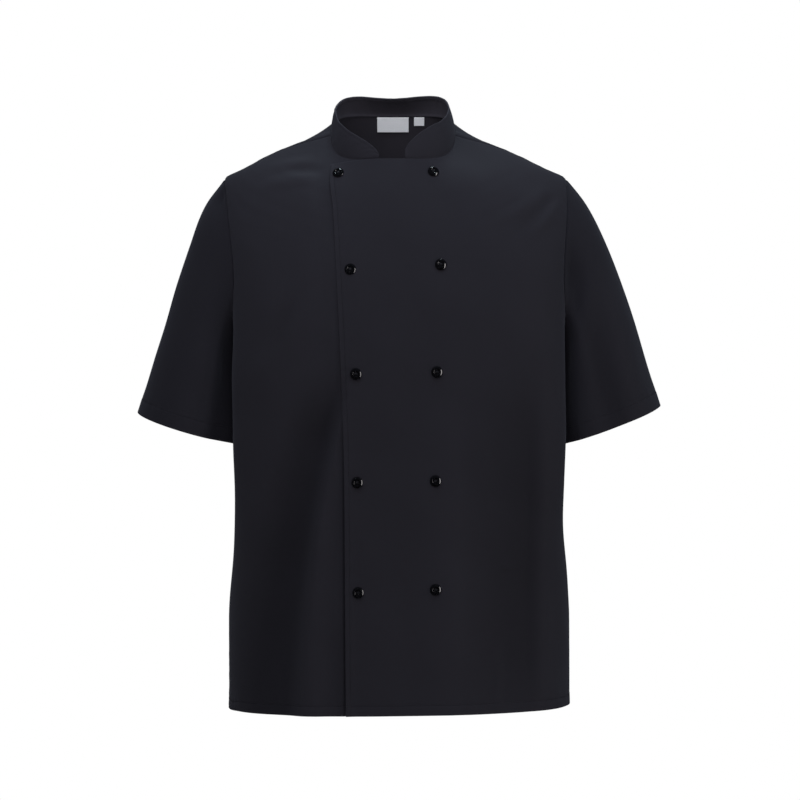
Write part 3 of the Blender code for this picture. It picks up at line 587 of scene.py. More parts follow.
def edge_line(face, outward, run, distance, kept=slice(None)):
    # A line over the kept rows of a grid, that far along each, and the way that the cloth faces there.
    return line_at(face, run, distance)[kept], line_at(outward, run, distance)[kept]


def hem_line(face, outward, along, hem, kept=slice(None)):
    # The same over its columns, that far up from the lower edge.
    return edge_line(*[grid.swapaxes(0, 1) for grid in (face, outward, along)], hem, kept)


def stitches_along(name, lines):
    # All the black stitches of one panel.
    sewing = bmesh.new()
    for points, outward in lines:
        sewn_line(sewing, points, outward)
    stitches = as_piece(name, sewing)
    sewing_thread.put_on(stitches)
    return stitches


class Reading:
    """A value in a finish, so that sums on it are written as sums."""

    def __init__(self, finish, socket):
        self.finish = finish
        self.socket = socket

    def maths(self, operation, other):
        return self.finish.add("ShaderNodeMath", {"operation": operation}, {0: self, 1: other})

    def __add__(self, other):
        return self.maths("ADD", other)

    def __mul__(self, other):
        return self.maths("MULTIPLY", other)

    __radd__ = __add__


class Finish:
    """A material, and the one way in which nodes are added to it."""

    def __init__(self, name):
        self.material = bpy.data.materials.new(name)
        self.material.use_nodes = True
        self.tree = self.material.node_tree
        self.shader = self.tree.nodes["Principled BSDF"]

    def feed(self, node, values):
        for name, value in values.items():
            if isinstance(value, Reading):
                self.tree.links.new(value.socket, node.inputs[name])
            else:
                node.inputs[name].default_value = value

    def add(self, kind, settings, values, output=0):
        node = self.tree.nodes.new(kind)
        for name, value in settings.items():
            setattr(node, name, value)
        self.feed(node, values)
        return Reading(self, node.outputs[output])

    def mixed(self, factor, first, second):
        return self.add("ShaderNodeMix", {"data_type": "RGBA"}, {0: factor, 6: first, 7: second}, output=2)

    def wave(self, value, pitch):
        return self.add("ShaderNodeMath", {"operation": "SINE"}, {0: value * (2.0 * math.pi / pitch)})

    def noise(self, where, scale, detail):
        return self.add("ShaderNodeTexNoise", {}, {"Vector": where, "Scale": scale, "Detail": detail})

    def bump(self, height, strength, distance):
        values = {"Height": height, "Strength": strength, "Distance": distance}
        return self.add("ShaderNodeBump", {}, values)

    def object_place(self):
        return self.add("ShaderNodeTexCoord", {}, {}, output=3)

    def grain(self):
        # The run of the cloth in metres, then its part across and its part along the panel.
        grain = self.add("ShaderNodeUVMap", {"uv_map": "grain"}, {})
        parts = [self.add("ShaderNodeSeparateXYZ", {}, {0: grain}, output=part) for part in (0, 1)]
        return grain, *parts

    def put_on(self, piece):
        piece.data.materials.clear()
        piece.data.materials.append(self.material)


TWILL_DARK = (0.0072, 0.0068, 0.0091, 1.0)
TWILL_LIGHT = (0.0111, 0.0105, 0.0140, 1.0)
TWILL_WORN_AND_LIT = (0.0400, 0.0380, 0.0480, 1.0)
TWILL_PITCH = 0.0011
TWILL_SLANT = 0.62
THREAD_PITCH = 0.00046
SLUBS = ((900.0, 40.0, 1.0), (40.0, 900.0, 1.0))


def twill(name, dark, light, faded):
    """Black cotton twill: fine slanting ribs, threads that vary a little, and a soft bloom."""
    finish = Finish(name)
    grain, across, along = finish.grain()
    rib = finish.wave(across + along * TWILL_SLANT, TWILL_PITCH)
    warp = finish.wave(across, THREAD_PITCH)
    weft = finish.wave(along, THREAD_PITCH)
    stretched = [
        finish.add("ShaderNodeVectorMath", {"operation": "MULTIPLY"}, {0: grain, 1: slub})
        for slub in SLUBS]
    slub_along, slub_across = [finish.noise(where, 1.0, 2.0) for where in stretched]
    cloud = finish.noise(finish.object_place(), 7.0, 3.0)
    wear_and_painted_shade = finish.add("ShaderNodeAttribute", {"attribute_name": "wear_and_painted_shade"}, {}, output=2)
    thread = (slub_along + slub_across) * 0.5
    tone = thread * 0.55 + cloud * 0.45
    height = rib * 0.45 + warp * 0.20 + weft * 0.20 + thread * 0.9
    finish.feed(finish.shader, {
        # Base colour: painted shade in crease troughs, painted light on ridges and inside, real wear on
        # folded edges.
        "Base Color": finish.mixed(wear_and_painted_shade, finish.mixed(tone, dark, light), faded),
        "Roughness": 0.62 + thread * 0.16,
        "Specular IOR Level": 0.10,
        "Sheen Weight": 0.05,
        "Sheen Roughness": 0.50,
        "Sheen Tint": (0.70, 0.72, 0.88, 1.0),
        "Normal": finish.bump(height, 0.16, 0.00025),
    })
    return finish


black_twill = twill("black_twill", TWILL_DARK, TWILL_LIGHT, TWILL_WORN_AND_LIT)

sewing_thread = Finish("black_thread")
fibre = sewing_thread.noise(sewing_thread.object_place(), 1800.0, 1.0)
sewing_thread.feed(sewing_thread.shader, {
    "Base Color": sewing_thread.mixed(fibre, (0.006, 0.006, 0.008, 1.0), (0.015, 0.015, 0.018, 1.0)),
    "Roughness": 0.50,
    "Specular IOR Level": 0.35,
})


def armhole_seam(side):
    # Points round an armhole, from the crown by the front to the underarm and up the back.
    turn = np.arange(ARMHOLE_ROWS + 1) / ARMHOLE_ROWS
    level = armhole_level(turn)
    front = side * side_angle(level, True)
    back = side * side_angle(level, False)
    angle = np.concatenate((front[::-1], back[1:-1]))
    level = np.concatenate((level[::-1], level[1:-1]))
    return body_surface(angle, level)


# The sleeves hang from the armholes. Their form is needed by the panels too, which meet them there.
SLEEVES = {
    # side: x and z of the cuff, its tilt and dip, how far the crown stands out
    1: (0.2695, -0.3855, math.radians(20.0), 0.0060, 0.48),
    -1: (0.2680, -0.3890, math.radians(15.5), 0.0075, 0.34),
}
CUFF_HALF_WIDTH = 0.0765
CUFF_HALF_DEPTH = 0.0720
SLEEVE_HANG = math.radians(18.4)
CROWN_DROP = 0.25
UNDERARM_OUTWARD = 0.10
CROWN_PULL = 0.75
CUFF_PULL = 0.90
# Creases down a sleeve: where round it and how wide, in degrees, and over which shares of its length
# they rise and fall. One with no end given runs on through the hem.
THROUGH_HEM = (2.0, 1.0)
SLEEVE_CREASES = (
    # side, middle, spread, depth, beginning, rise, end, fall
    (1, 48, 30, 0.0030, 0.15, 0.45),
    (1, 80, 26, -0.0038, 0.30, 0.40),
    (1, 112, 24, 0.0030, 0.05, 0.40),
    (1, 137, 22, -0.0040, 0.05, 0.35),
    (1, 215, 36, -0.0040, 0.20, 0.45),
    (1, 285, 34, 0.0040, 0.15, 0.45),
    (-1, 0, 60, 0.0035, 0.02, 0.14, 0.34, 0.18),
    (-1, 86, 34, 0.0032, 0.15, 0.45),
    (-1, 122, 26, -0.0052, 0.08, 0.40),
    (-1, 228, 34, -0.0040, 0.15, 0.45),
    (-1, 300, 32, 0.0035, 0.20, 0.45),
    (1, 82, 26, -0.0062, 0.00, 0.08, 0.36, 0.20),
    (1, 96, 13, 0.0014, 0.10, 0.20),
    (1, 150, 18, 0.0036, 0.16, 0.26),
    (1, 255, 16, -0.0018, 0.20, 0.30),
    (-1, 33, 14, -0.0028, 0.00, 0.03, 0.12, 0.08),
    (-1, 104, 13, 0.0012, 0.25, 0.30),
    (-1, 150, 16, 0.0024, 0.20, 0.30),
    (-1, 262, 16, -0.0018, 0.25, 0.30),
)
SLEEVE_LENGTH = 0.27
SLEEVE_HEM = 0.020
SLEEVE_ROWS = 68
# Less painted light on the sleeves: their colour is a little darker all over.
SLEEVE_DARKER_BY = 0.10
SLEEVE_RIPPLE_FADE = 0.04


def round_outward(points, side):
    around = np.roll(points, -1, axis=1) - np.roll(points, 1, axis=1)
    along = np.gradient(points, axis=0)
    return unit(np.cross(around, along)) * side


def sleeve_shares():
    steps = EDGE_STEPS / SLEEVE_LENGTH
    stitching = 1.0 - (SLEEVE_HEM + STITCH_STEPS) / SLEEVE_LENGTH
    return np.sort(np.concatenate((np.linspace(0.0, 1.0, SLEEVE_ROWS + 1), steps, 1.0 - steps, stitching)))


def sleeve_surface(side):
    cuff_x, cuff_z, tilt, cuff_dip, crown_outward = SLEEVES[side]
    start, panel_outward = armhole_seam(side)
    turn = np.arange(len(start)) * 2.0 * math.pi / len(start)
    across = CUFF_HALF_WIDTH * np.cos(turn)
    cuff = np.stack((
        side * (cuff_x + across * math.cos(tilt)) + SHIRT_MIDDLE,
        -CUFF_HALF_DEPTH * np.sin(turn),
        cuff_z + across * math.sin(tilt) - cuff_dip * np.abs(np.sin(turn)),
    ), axis=-1)
    hang = np.array((side * math.sin(SLEEVE_HANG), 0.0, -math.cos(SLEEVE_HANG)))
    sideways = np.array((side * 1.0, 0.0, -CROWN_DROP))
    crown_share = smooth((1.0 + np.cos(turn)) / 2.0)[:, None]
    lift = UNDERARM_OUTWARD + (crown_outward - UNDERARM_OUTWARD) * crown_share
    reach = np.linalg.norm(cuff - start, axis=-1, keepdims=True)
    start_pull = unit(hang * (1.0 - lift) + sideways * lift) * reach * CROWN_PULL
    cuff_pull = hang * reach * CUFF_PULL
    share = sleeve_shares()[:, None, None]
    points = (
        start * (1.0 + 2.0 * share) * (1.0 - share) ** 2
        + start_pull * share * (1.0 - share) ** 2
        + cuff * share ** 2 * (3.0 - 2.0 * share)
        - cuff_pull * share ** 2 * (1.0 - share))
    outward = round_outward(points, side)
    relief = np.zeros(points.shape[:2])
    for row in SLEEVE_CREASES:
        crease_side, middle, spread, depth, beginning, rise, end, fall = (row + THROUGH_HEM)[:8]
        if crease_side == side:
            across_share = smooth(1.0 - np.abs(np.degrees(turn) - middle) / spread)
            along_share = smooth((share[:, 0] - beginning) / rise) * smooth((end - share[:, 0]) / fall)
            relief += depth * across_share * along_share
    points = points + outward * relief[..., None]
    return points, round_outward(points, side), panel_outward, relief


sleeve_forms = {side: sleeve_surface(side) for side in (1, -1)}
armhole_directions = {}
armhole_agreement = {}
for side, (points, outward, panel_outward, relief) in sleeve_forms.items():
    armhole_directions[side] = shared_direction(panel_outward, outward[0])
    armhole_agreement[side] = seam_agreement(panel_outward, outward[0])


def eased_to_seam(outward, seam, distance):
    share = 1.0 - smooth(distance / SEAM_SHARE_REACH)[..., None]
    return unit(outward * (1.0 - share) + seam * share)


levels = panel_levels()[:, None]
first_armhole_row = int(np.searchsorted(levels[:, 0], UNDERARM_LEVEL - 1e-9))


def along_side_edge(plain, round_armhole, front):
    # One value a row at the panel's side edge, taken from the armhole where the edge runs round it.
    edge = plain.copy()
    if front:
        part = round_armhole[: ARMHOLE_ROWS + 1][::-1]
    else:
        part = np.concatenate((round_armhole[ARMHOLE_ROWS:], round_armhole[:1]))
    edge[first_armhole_row: first_armhole_row + ARMHOLE_ROWS + 1] = part
    return edge


def side_agreement(side, front):
    below = smooth((UNDERARM_LEVEL - levels) / LEVEL_PER_METRE / UNDERARM_REACH)
    return along_side_edge(np.where(levels > UNDERARM_LEVEL, 1.0, below), armhole_agreement[side], front)


def hem_turning(to_hem, hem):
    # The extra thickness of the turned-up cloth, up to just past its stitching.
    return HEM_ALLOWANCE * (1.0 - smooth((to_hem - hem - HEM_MARGIN) / HEM_MARGIN))


def hem_relief(to_hem, across, hem):
    # The turned-up hem stands a little proud up to its stitching, which is drawn in.
    band = HEM_RAISE * (1.0 - smooth((to_hem - hem + HEM_RAISE_FADE / 2.0) / HEM_RAISE_FADE))
    return band + stitch_dip(to_hem - hem) + pucker(to_hem - hem, across)


def panel_relief(points, across, along, to_side, to_top, faded=1.0):
    # What each body panel has: ripples that die out at its seams, a hem and a gathered side seam.
    height = ripple_height(points) * smooth(to_side / RIPPLE_FADE) * smooth(to_top / RIPPLE_FADE) * faded
    height += hem_relief(along, across, BODY_HEM)
    return height + pucker(to_side, along) - seam_tuck(to_top) * TOP_TUCK


def wear_and_crease_shade(relief, *distances):
    # Painted shade and light: the colour darkens in crease troughs and lightens on ridges, as light falls
    # on them, and lightens with real wear along folded edges.
    faded = np.clip(PAINTED_SHADE_FLAT + relief * PAINTED_SHADE_PER_METRE, 0.0, 1.0)
    return faded + sum(WORN_EDGE * np.exp(-distance / WORN_EDGE_REACH) for distance in distances)


def front_panel(name, angle, level, side):
    points, outward = body_surface(angle, level)
    if side < 0:
        points = points - outward * under_drop(angle, level)[..., None]
    across, from_end, along, to_top = edge_distances(points)
    to_edge, to_seam = (across, from_end) if side > 0 else (from_end, across)
    seam_column = -1 if side > 0 else 0
    seam = along_side_edge(outward[:, seam_column], armhole_directions[side], True)
    outward = eased_to_seam(outward, seam[:, None], to_seam)
    height = panel_relief(points, across, along, to_seam, to_top, smooth(to_edge / EDGE_RIPPLE_FADE))
    height += seam_shape(to_seam, side_agreement(side, True))
    to_stitch = to_edge - OVERLAP_STITCH
    height += stitch_dip(to_stitch) + pucker(to_stitch, along) * EDGE_PUCKER
    if side > 0:
        lift = OVERLAP_EDGE_RAISE + OVERLAP_EDGE_LIFT * lifted_share(level)
        height += lift * (1.0 - smooth(to_edge / OVERLAP_LIFT_REACH))
    face = points + outward * height[..., None]
    above = rounded(CLOTH / 2.0, to_edge, along, to_top, to_seam)
    folded_in = HEM_ALLOWANCE * (1.0 - smooth((to_stitch - FOLD_MARGIN) / FOLD_FADE))
    folded = np.maximum(hem_turning(along, BODY_HEM), folded_in)
    below = above + folded * smooth(np.minimum(to_edge, along) / ALLOWANCE_FADE)
    wear_and_painted_shade = wear_and_crease_shade(body_creases(points), to_edge, along)
    panel = cloth_shell(name, face, outward, above, below, to_edge, along, wear_and_painted_shade)
    black_twill.put_on(panel)
    return panel, face, outward, to_edge, along


over_share = panel_shares(FRONT_COLUMNS, FRONT_WIDTH, FOLD_STEPS)
over_level = lowered_top(levels, over_top_drop(over_share))
over_angle = spread_columns(overlap_angle(over_level), side_angle(over_level, True), over_share)
left_front, *left_grids = front_panel("left_front_cloth", over_angle, over_level, 1)

under_share = panel_shares(FRONT_COLUMNS, FRONT_WIDTH, np.concatenate((FOLD_STEPS, UNDERLAP_STEPS)))
under_angle = -spread_columns(overlap_angle(levels), side_angle(levels, True), under_share)[:, ::-1]
past_middle = np.clip(under_angle / UNDERLAP_TOP_ANGLE, 0.0, 1.0)
under_level = lowered_top(levels, UNDERLAP_TOP_DROP * past_middle ** 3)
right_front, *right_grids = front_panel("right_front_cloth", under_angle, under_level, -1)

for name, panel, grids in (("left", left_front, left_grids), ("right", right_front, right_grids)):
    face, outward, to_edge, along = grids
    lines = [hem_line(face, outward, along, BODY_HEM, HEM_COLUMNS)]
    if name == "left":
        lines.append(edge_line(face, outward, to_edge, OVERLAP_STITCH, EDGE_ROWS))
    stitches = stitches_along(f"{name}_front_stitches", lines)
    for piece in (panel, stitches):
        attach(piece, "root")
    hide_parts(f"front_{name}")

# The back: one panel of the same twill, with no yoke and no seam down its middle, sewn to the
# fronts at the sides and shoulders. It hangs in soft folds below the shoulder blades.
share = panel_shares(BACK_COLUMNS, BACK_WIDTH)
half = np.abs(2.0 * share - 1.0)
from_middle = math.pi / 2.0 * half - (side_angle(levels, False) - math.pi / 2.0) * half ** 2
back_angle = math.pi + np.sign(share - 0.5) * from_middle
points, outward = body_surface(back_angle, levels)
across, from_end, along, to_top = edge_distances(points)
left_seam = along_side_edge(outward[:, 0], armhole_directions[1], False)
right_seam = along_side_edge(outward[:, -1], armhole_directions[-1], False)
outward = eased_to_seam(outward, left_seam[:, None], across)
outward = eased_to_seam(outward, right_seam[:, None], from_end)
to_side = np.minimum(across, from_end)
height = panel_relief(points, across, along, to_side, to_top)
height += seam_shape(across, side_agreement(1, False)) + seam_shape(from_end, side_agreement(-1, False))
back_face = points + outward * height[..., None]
above = rounded(CLOTH / 2.0, to_side, along, to_top)
below = above + hem_turning(along, BODY_HEM) * smooth(along / ALLOWANCE_FADE)
grain_across = across - across[:, -1:] / 2.0
wear_and_painted_shade = wear_and_crease_shade(body_creases(points), along)
back = cloth_shell("back_cloth", back_face, outward, above, below, grain_across, along, wear_and_painted_shade)
black_twill.put_on(back)

back_hem = hem_line(back_face, outward, along, BODY_HEM, HEM_COLUMNS)
back_stitches = stitches_along("back_stitches", [back_hem])

for piece in (back, back_stitches):
    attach(piece, "root")
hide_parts("back")

# The sleeves: one panel each, closed along the underarm and set into the armhole, hanging free
# with a deep hem stitched all round.
for side, name in ((1, "left"), (-1, "right")):
    points, outward, panel_outward, relief = sleeve_forms[side]
    along = run_along(points, 0)
    ringed = np.concatenate((points, points[:, :1]), axis=1)
    across = run_along(ringed, 1)
    to_cuff = along[-1:] - along
    seam = shared_direction(outward[0], panel_outward)
    outward = eased_to_seam(outward, seam[None], along)
    height = ripple_height(points) * smooth(along / SLEEVE_RIPPLE_FADE)
    height += hem_relief(to_cuff, across[:, :-1], SLEEVE_HEM)
    height += pucker(along, across[:, :-1]) + seam_shape(along, armhole_agreement[side][:, 0])
    face = points + outward * height[..., None]
    above = rounded(CLOTH / 2.0, along, to_cuff)
    below = above + hem_turning(to_cuff, SLEEVE_HEM) * smooth(to_cuff / ALLOWANCE_FADE)
    face, outward, above, below, to_cuff, relief = [
        np.concatenate((field, field[:, :1]), axis=1)
        for field in (face, outward, above, below, to_cuff, relief)]
    wear_and_painted_shade = wear_and_crease_shade(relief, to_cuff) - SLEEVE_DARKER_BY
    sleeve = cloth_shell(f"{name}_sleeve_cloth", face, outward, above, below, across, to_cuff, wear_and_painted_shade)
    black_twill.put_on(sleeve)
    sleeve_hem = hem_line(face[::-1], outward[::-1], to_cuff[::-1], SLEEVE_HEM)
    stitches = stitches_along(f"{name}_sleeve_stitches", [sleeve_hem])
    for piece in (sleeve, stitches):
        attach(piece, "root")
    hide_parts(f"sleeve_{name}")
    front = left_front if side > 0 else right_front

# The stand collar: a band of two layers sewn together, turned and stitched along its top and its
# rounded front corners, then set on the neckline. It stands open at the front.
COLLAR_THICKNESS = 0.0020
COLLAR_HEIGHT = 0.030
COLLAR_SHAPE = (
    # degrees from the front, rise on the right and left, lean on the right and left
    (0, 0.0380, 0.0435, -0.0060, -0.0080),
    (57, 0.0380, 0.0437, -0.0060, -0.0080),
    (74, 0.0345, 0.0385, -0.0055, -0.0078),
    (90, 0.0300, 0.0300, -0.0050, -0.0072),
    (112, 0.0272, 0.0286, -0.0080, -0.0085),
    (138, 0.0254, 0.0262, -0.0130, -0.0120),
    (165, 0.0224, 0.0228, -0.0165, -0.0165),
    (180, 0.0216, 0.0216, -0.0170, -0.0170),
)
COLLAR_GAP_LEFT = math.radians(11.2)
COLLAR_GAP_RIGHT = math.radians(12.9)
COLLAR_CORNER_LEFT = 0.050
COLLAR_CORNER_RIGHT = 0.062
COLLAR_END_LEFT = 0.22
COLLAR_END_RIGHT = 0.15
COLLAR_CORNER_POWER = 1.5
COLLAR_COLUMNS = 250
COLLAR_CORNER_COLUMNS = 26
COLLAR_ROWS = 18
COLLAR_STITCH = 0.0050
COLLAR_LAP = 0.0011
COLLAR_BASE_STEP = 0.01
COLLAR_LAP_ROWS = (-1.0, -0.9, -0.6, -0.3)
COLLAR_LEAN_POWER = 1.5
COLLAR_PUCKER = 0.5
COLLAR_TUCK = 0.5


def collar_fullness(from_end, corner_length, end_share):
    corner = np.clip(1.0 - from_end / corner_length, 0.0, 1.0)
    rounding = (1.0 - corner ** COLLAR_CORNER_POWER) ** (1.0 / COLLAR_CORNER_POWER)
    return end_share + (1.0 - end_share) * rounding


neck_half = ring("half_width", 1.0)
closing = 1.0 - np.cos(np.linspace(0.0, math.pi / 2.0, COLLAR_CORNER_COLUMNS + 1))
first_columns = COLLAR_GAP_LEFT + COLLAR_CORNER_LEFT / neck_half * closing
last_columns = 2.0 * math.pi - COLLAR_GAP_RIGHT - COLLAR_CORNER_RIGHT / neck_half * closing[::-1]
between = np.linspace(first_columns[-1], last_columns[0], COLLAR_COLUMNS + 1)
collar_angle = np.concatenate((first_columns, between[1:-1], last_columns))
neck_level = np.ones_like(collar_angle)
base, base_outward = body_surface(collar_angle, neck_level)
from_front = np.where(collar_angle > math.pi, collar_angle - 2.0 * math.pi, collar_angle)
lapped = np.where(from_front < 0.0, under_drop(from_front, neck_level), 0.0)
base = base - base_outward * lapped[:, None]
base_run = run_along(base, 0)
from_corner = np.minimum(base_run, base_run[-1] - base_run)
fullness = collar_fullness(base_run, COLLAR_CORNER_LEFT, COLLAR_END_LEFT)
fullness = fullness * collar_fullness(base_run[-1] - base_run, COLLAR_CORNER_RIGHT, COLLAR_END_RIGHT)
around = np.degrees(np.abs(from_front))
on_left = from_front > 0.0
knots, *shape = np.array(COLLAR_SHAPE).T
rise_right, rise_left, lean_right, lean_left = [eased(knots, values, around) * fullness for values in shape]
rise = np.where(on_left, rise_left, rise_right)[None, :, None]
lean = np.where(on_left, lean_left, lean_right)[None, :, None]
below_base = body_surface(collar_angle, neck_level - COLLAR_BASE_STEP)[0] - base_outward * lapped[:, None]
downward = unit(below_base - base)
flat_base = base - np.array((ring("centre", 1.0), 0.0, 0.0))
flat_base[:, 2] = 0.0
away = unit(flat_base)
rim_steps = EDGE_STEPS / COLLAR_HEIGHT
share = np.sort(np.concatenate((np.linspace(0.0, 1.0, COLLAR_ROWS + 1), 1.0 - rim_steps)))
share = np.concatenate((COLLAR_LAP_ROWS, share))[:, None, None]
lap = np.clip(-share, 0.0, 1.0) * COLLAR_LAP
share = np.clip(share, 0.0, 1.0)
up = np.array((0.0, 0.0, 1.0))
points = base + downward * lap + up * rise * share + away * lean * share ** COLLAR_LEAN_POWER
outward = unit(np.cross(np.gradient(points, axis=1), np.gradient(points, axis=0)))
across, from_end, along, to_top = edge_distances(points)
to_rim = np.minimum.reduce((across, from_end, to_top))
height = stitch_dip(to_rim - COLLAR_STITCH) - seam_tuck(along) * COLLAR_TUCK
height += (pucker(to_rim - COLLAR_STITCH, across) + pucker(along, across)) * COLLAR_PUCKER
collar_face = points + outward * height[..., None]
thickness = rounded(COLLAR_THICKNESS / 2.0, to_rim, along)
# A lighter copy of the same twill: painted light on the collar.
collar_twill_painted_light = twill(
    "collar_twill_painted_light", (0.0080, 0.0074, 0.0098, 1.0), (0.0121, 0.0112, 0.0148, 1.0), TWILL_WORN_AND_LIT)
wear_and_painted_shade = wear_and_crease_shade(height, to_rim)
collar = cloth_shell(
    "collar_band_cloth", collar_face, outward, thickness, thickness, across, along, wear_and_painted_shade)
collar_twill_painted_light.put_on(collar)

inner_face = collar_face - outward * (COLLAR_THICKNESS + CLOTH) / 2.0
kept = from_corner > COLLAR_STITCH
collar_stitches = stitches_along("collar_stitches", [
    hem_line(face[::-1], facing[::-1], to_top[::-1], COLLAR_STITCH, kept)
    for face, facing in ((collar_face, outward), (inner_face, -outward))])

for piece in (collar, collar_stitches):
    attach(piece, "root")
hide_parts("collar")

# The buttons: ten glossy black moulded buttons with a broad raised rim and four holes in a flat,
# sunken middle, sewn on through the over-panel with black thread.
BUTTON_PLACES = (
    # name, x, z
    ("edge_1", -0.0723, -0.0598),
    ("edge_2", -0.0560, -0.1862),
    ("edge_3", -0.0487, -0.3195),
    ("edge_4", -0.0470, -0.4570),
    ("edge_5", -0.0458, -0.5965),
    ("inner_1", 0.0500, -0.0583),
    ("inner_2", 0.0590, -0.1800),
    ("inner_3", 0.0540, -0.3170),
    ("inner_4", 0.0521, -0.4550),
    ("inner_5", 0.0522, -0.5925),
)
BUTTON_SECTION = (
    # radius, height
    (0.0000, 0.00135),
    (0.0028, 0.00135),
    (0.0033, 0.00142),
    (0.0036, 0.00170),
    (0.0038, 0.00215),
    (0.0040, 0.00248),
    (0.0043, 0.00262),
    (0.0046, 0.00257),
    (0.0050, 0.00241),
    (0.0056, 0.00210),
    (0.0062, 0.00174),
    (0.0067, 0.00139),
    (0.0071, 0.00100),
    (0.0074, 0.00062),
    (0.0075, 0.00040),
    (0.0074, 0.00020),
    (0.0070, 0.00005),
    (0.0064, 0.00000),
    (0.0000, 0.00000),
)
BUTTON_TURNS = 56
BUTTON_CLEARANCE = 0.0005
HOLE_RADIUS = 0.00085
HOLE_OFFSET = 0.00145
HOLE_SIDES = 20
DRILL_MIDDLE = 0.0015
DRILL_LENGTH = 0.004
THREAD_MIDDLE = 0.00165
THREAD_HALF_WIDTH = 0.00032
THREAD_HALF_HEIGHT = 0.00040
THREAD_REACH = 1.18
SHANK_MIDDLE = 0.0004
SHANK_RADIUS = 0.0019
SHANK_LENGTH = 0.0022
SEAT_TURN = 0.03
SEAT_CLIMB = 0.008
SEAT_STEP = 0.002
SEAT_TRIES = 30
SEAT_ANGLE_LIMIT = 1.3
SEAT_LEVEL_LIMIT = 0.999


def seat_on_front(x, z):
    # The cloth's point that shows at x and z from the front, and the way it faces there.
    angle, level = 0.0, 0.5
    for _ in range(SEAT_TRIES):
        here = body_place(angle, level)
        by_angle = (body_place(angle + SEAT_STEP, level) - here) / SEAT_STEP
        by_level = (body_place(angle, level + SEAT_STEP) - here) / SEAT_STEP
        grid = np.array(((by_angle[0], by_level[0]), (by_angle[2], by_level[2])))
        change = np.linalg.solve(grid, np.array((x - here[0], z - here[2])))
        angle = np.clip(angle + change[0], -SEAT_ANGLE_LIMIT, SEAT_ANGLE_LIMIT)
        level = np.clip(level + change[1], 0.0, SEAT_LEVEL_LIMIT)
    around = body_surface(angle + SEAT_TURN, level)[0] - body_surface(angle - SEAT_TURN, level)[0]
    upward = body_surface(angle, level + SEAT_CLIMB)[0] - body_surface(angle, level - SEAT_CLIMB)[0]
    return body_surface(angle, level)[0], unit(np.cross(around, upward))


button_bm = bmesh.new()
rim_points = [button_bm.verts.new((radius, 0.0, height)) for radius, height in BUTTON_SECTION]
rim_edges = [button_bm.edges.new(pair) for pair in zip(rim_points, rim_points[1:])]
bmesh.ops.spin(
    button_bm, geom=rim_points + rim_edges, cent=(0.0, 0.0, 0.0), axis=(0.0, 0.0, 1.0),
    angle=2.0 * math.pi, steps=BUTTON_TURNS, use_merge=True)
bmesh.ops.remove_doubles(button_bm, verts=button_bm.verts, dist=JOIN_DISTANCE / 2.0)
bmesh.ops.recalc_face_normals(button_bm, faces=button_bm.faces)
plain_button = as_piece("button_blank", button_bm)
drill_bm = bmesh.new()
for across_sign in (-1.0, 1.0):
    for up_sign in (-1.0, 1.0):
        place = Matrix.Translation((across_sign * HOLE_OFFSET, up_sign * HOLE_OFFSET, DRILL_MIDDLE))
        bmesh.ops.create_cone(
            drill_bm, cap_ends=True, segments=HOLE_SIDES, radius1=HOLE_RADIUS, radius2=HOLE_RADIUS,
            depth=DRILL_LENGTH, matrix=place)
drill = as_piece("button_drill", drill_bm)
cut = plain_button.modifiers.new("holes", "BOOLEAN")
cut.operation = "DIFFERENCE"
cut.solver = "EXACT"
cut.object = drill
evaluated = plain_button.evaluated_get(bpy.context.evaluated_depsgraph_get())
drilled_mesh = bpy.data.meshes.new_from_object(evaluated)
bpy.data.objects.remove(plain_button)
bpy.data.objects.remove(drill)

gloss_black = Finish("gloss_black_button")
swirl = gloss_black.noise(gloss_black.object_place(), 260.0, 3.0)
scuffs = gloss_black.noise(gloss_black.object_place(), 2200.0, 2.0)
gloss_black.feed(gloss_black.shader, {
    "Base Color": gloss_black.mixed(swirl, (0.0020, 0.0020, 0.0026, 1.0), (0.0046, 0.0046, 0.0056, 1.0)),
    "Roughness": 0.07 + scuffs * 0.06,
    "Specular IOR Level": 1.00,
    "Coat Weight": 0.60,
    "Coat Roughness": 0.05,
})

for name, x, z in BUTTON_PLACES:
    seat, facing = seat_on_front(x, z)
    turn_to_face = Vector(facing).to_track_quat("Z", "Y").to_matrix().to_4x4()
    placed = Matrix.Translation(Vector(seat + facing * BUTTON_CLEARANCE)) @ turn_to_face
    mesh = drilled_mesh.copy()
    mesh.transform(placed)
    mesh.name = f"{name}_button"
    button = add_to_scene(f"{name}_button", mesh)
    gloss_black.put_on(button)
    thread_bm = bmesh.new()
    for across_sign in (-1.0, 1.0):
        here = Matrix.Translation((across_sign * HOLE_OFFSET, 0.0, THREAD_MIDDLE))
        size = Matrix.Diagonal((THREAD_HALF_WIDTH, HOLE_OFFSET * THREAD_REACH, THREAD_HALF_HEIGHT, 1.0))
        bar = placed @ here @ size @ Matrix.Rotation(math.radians(90.0), 4, "X")
        bmesh.ops.create_uvsphere(thread_bm, u_segments=10, v_segments=8, radius=1.0, matrix=bar)
    bmesh.ops.create_cone(
        thread_bm, cap_ends=True, segments=14, radius1=SHANK_RADIUS, radius2=SHANK_RADIUS,
        depth=SHANK_LENGTH, matrix=placed @ Matrix.Translation((0.0, 0.0, SHANK_MIDDLE)))
    thread = as_piece(f"{name}_button_thread", thread_bm)
    sewing_thread.put_on(thread)
    for piece in (button, thread):
        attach(piece, "root")
    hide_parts(f"button_{name}")

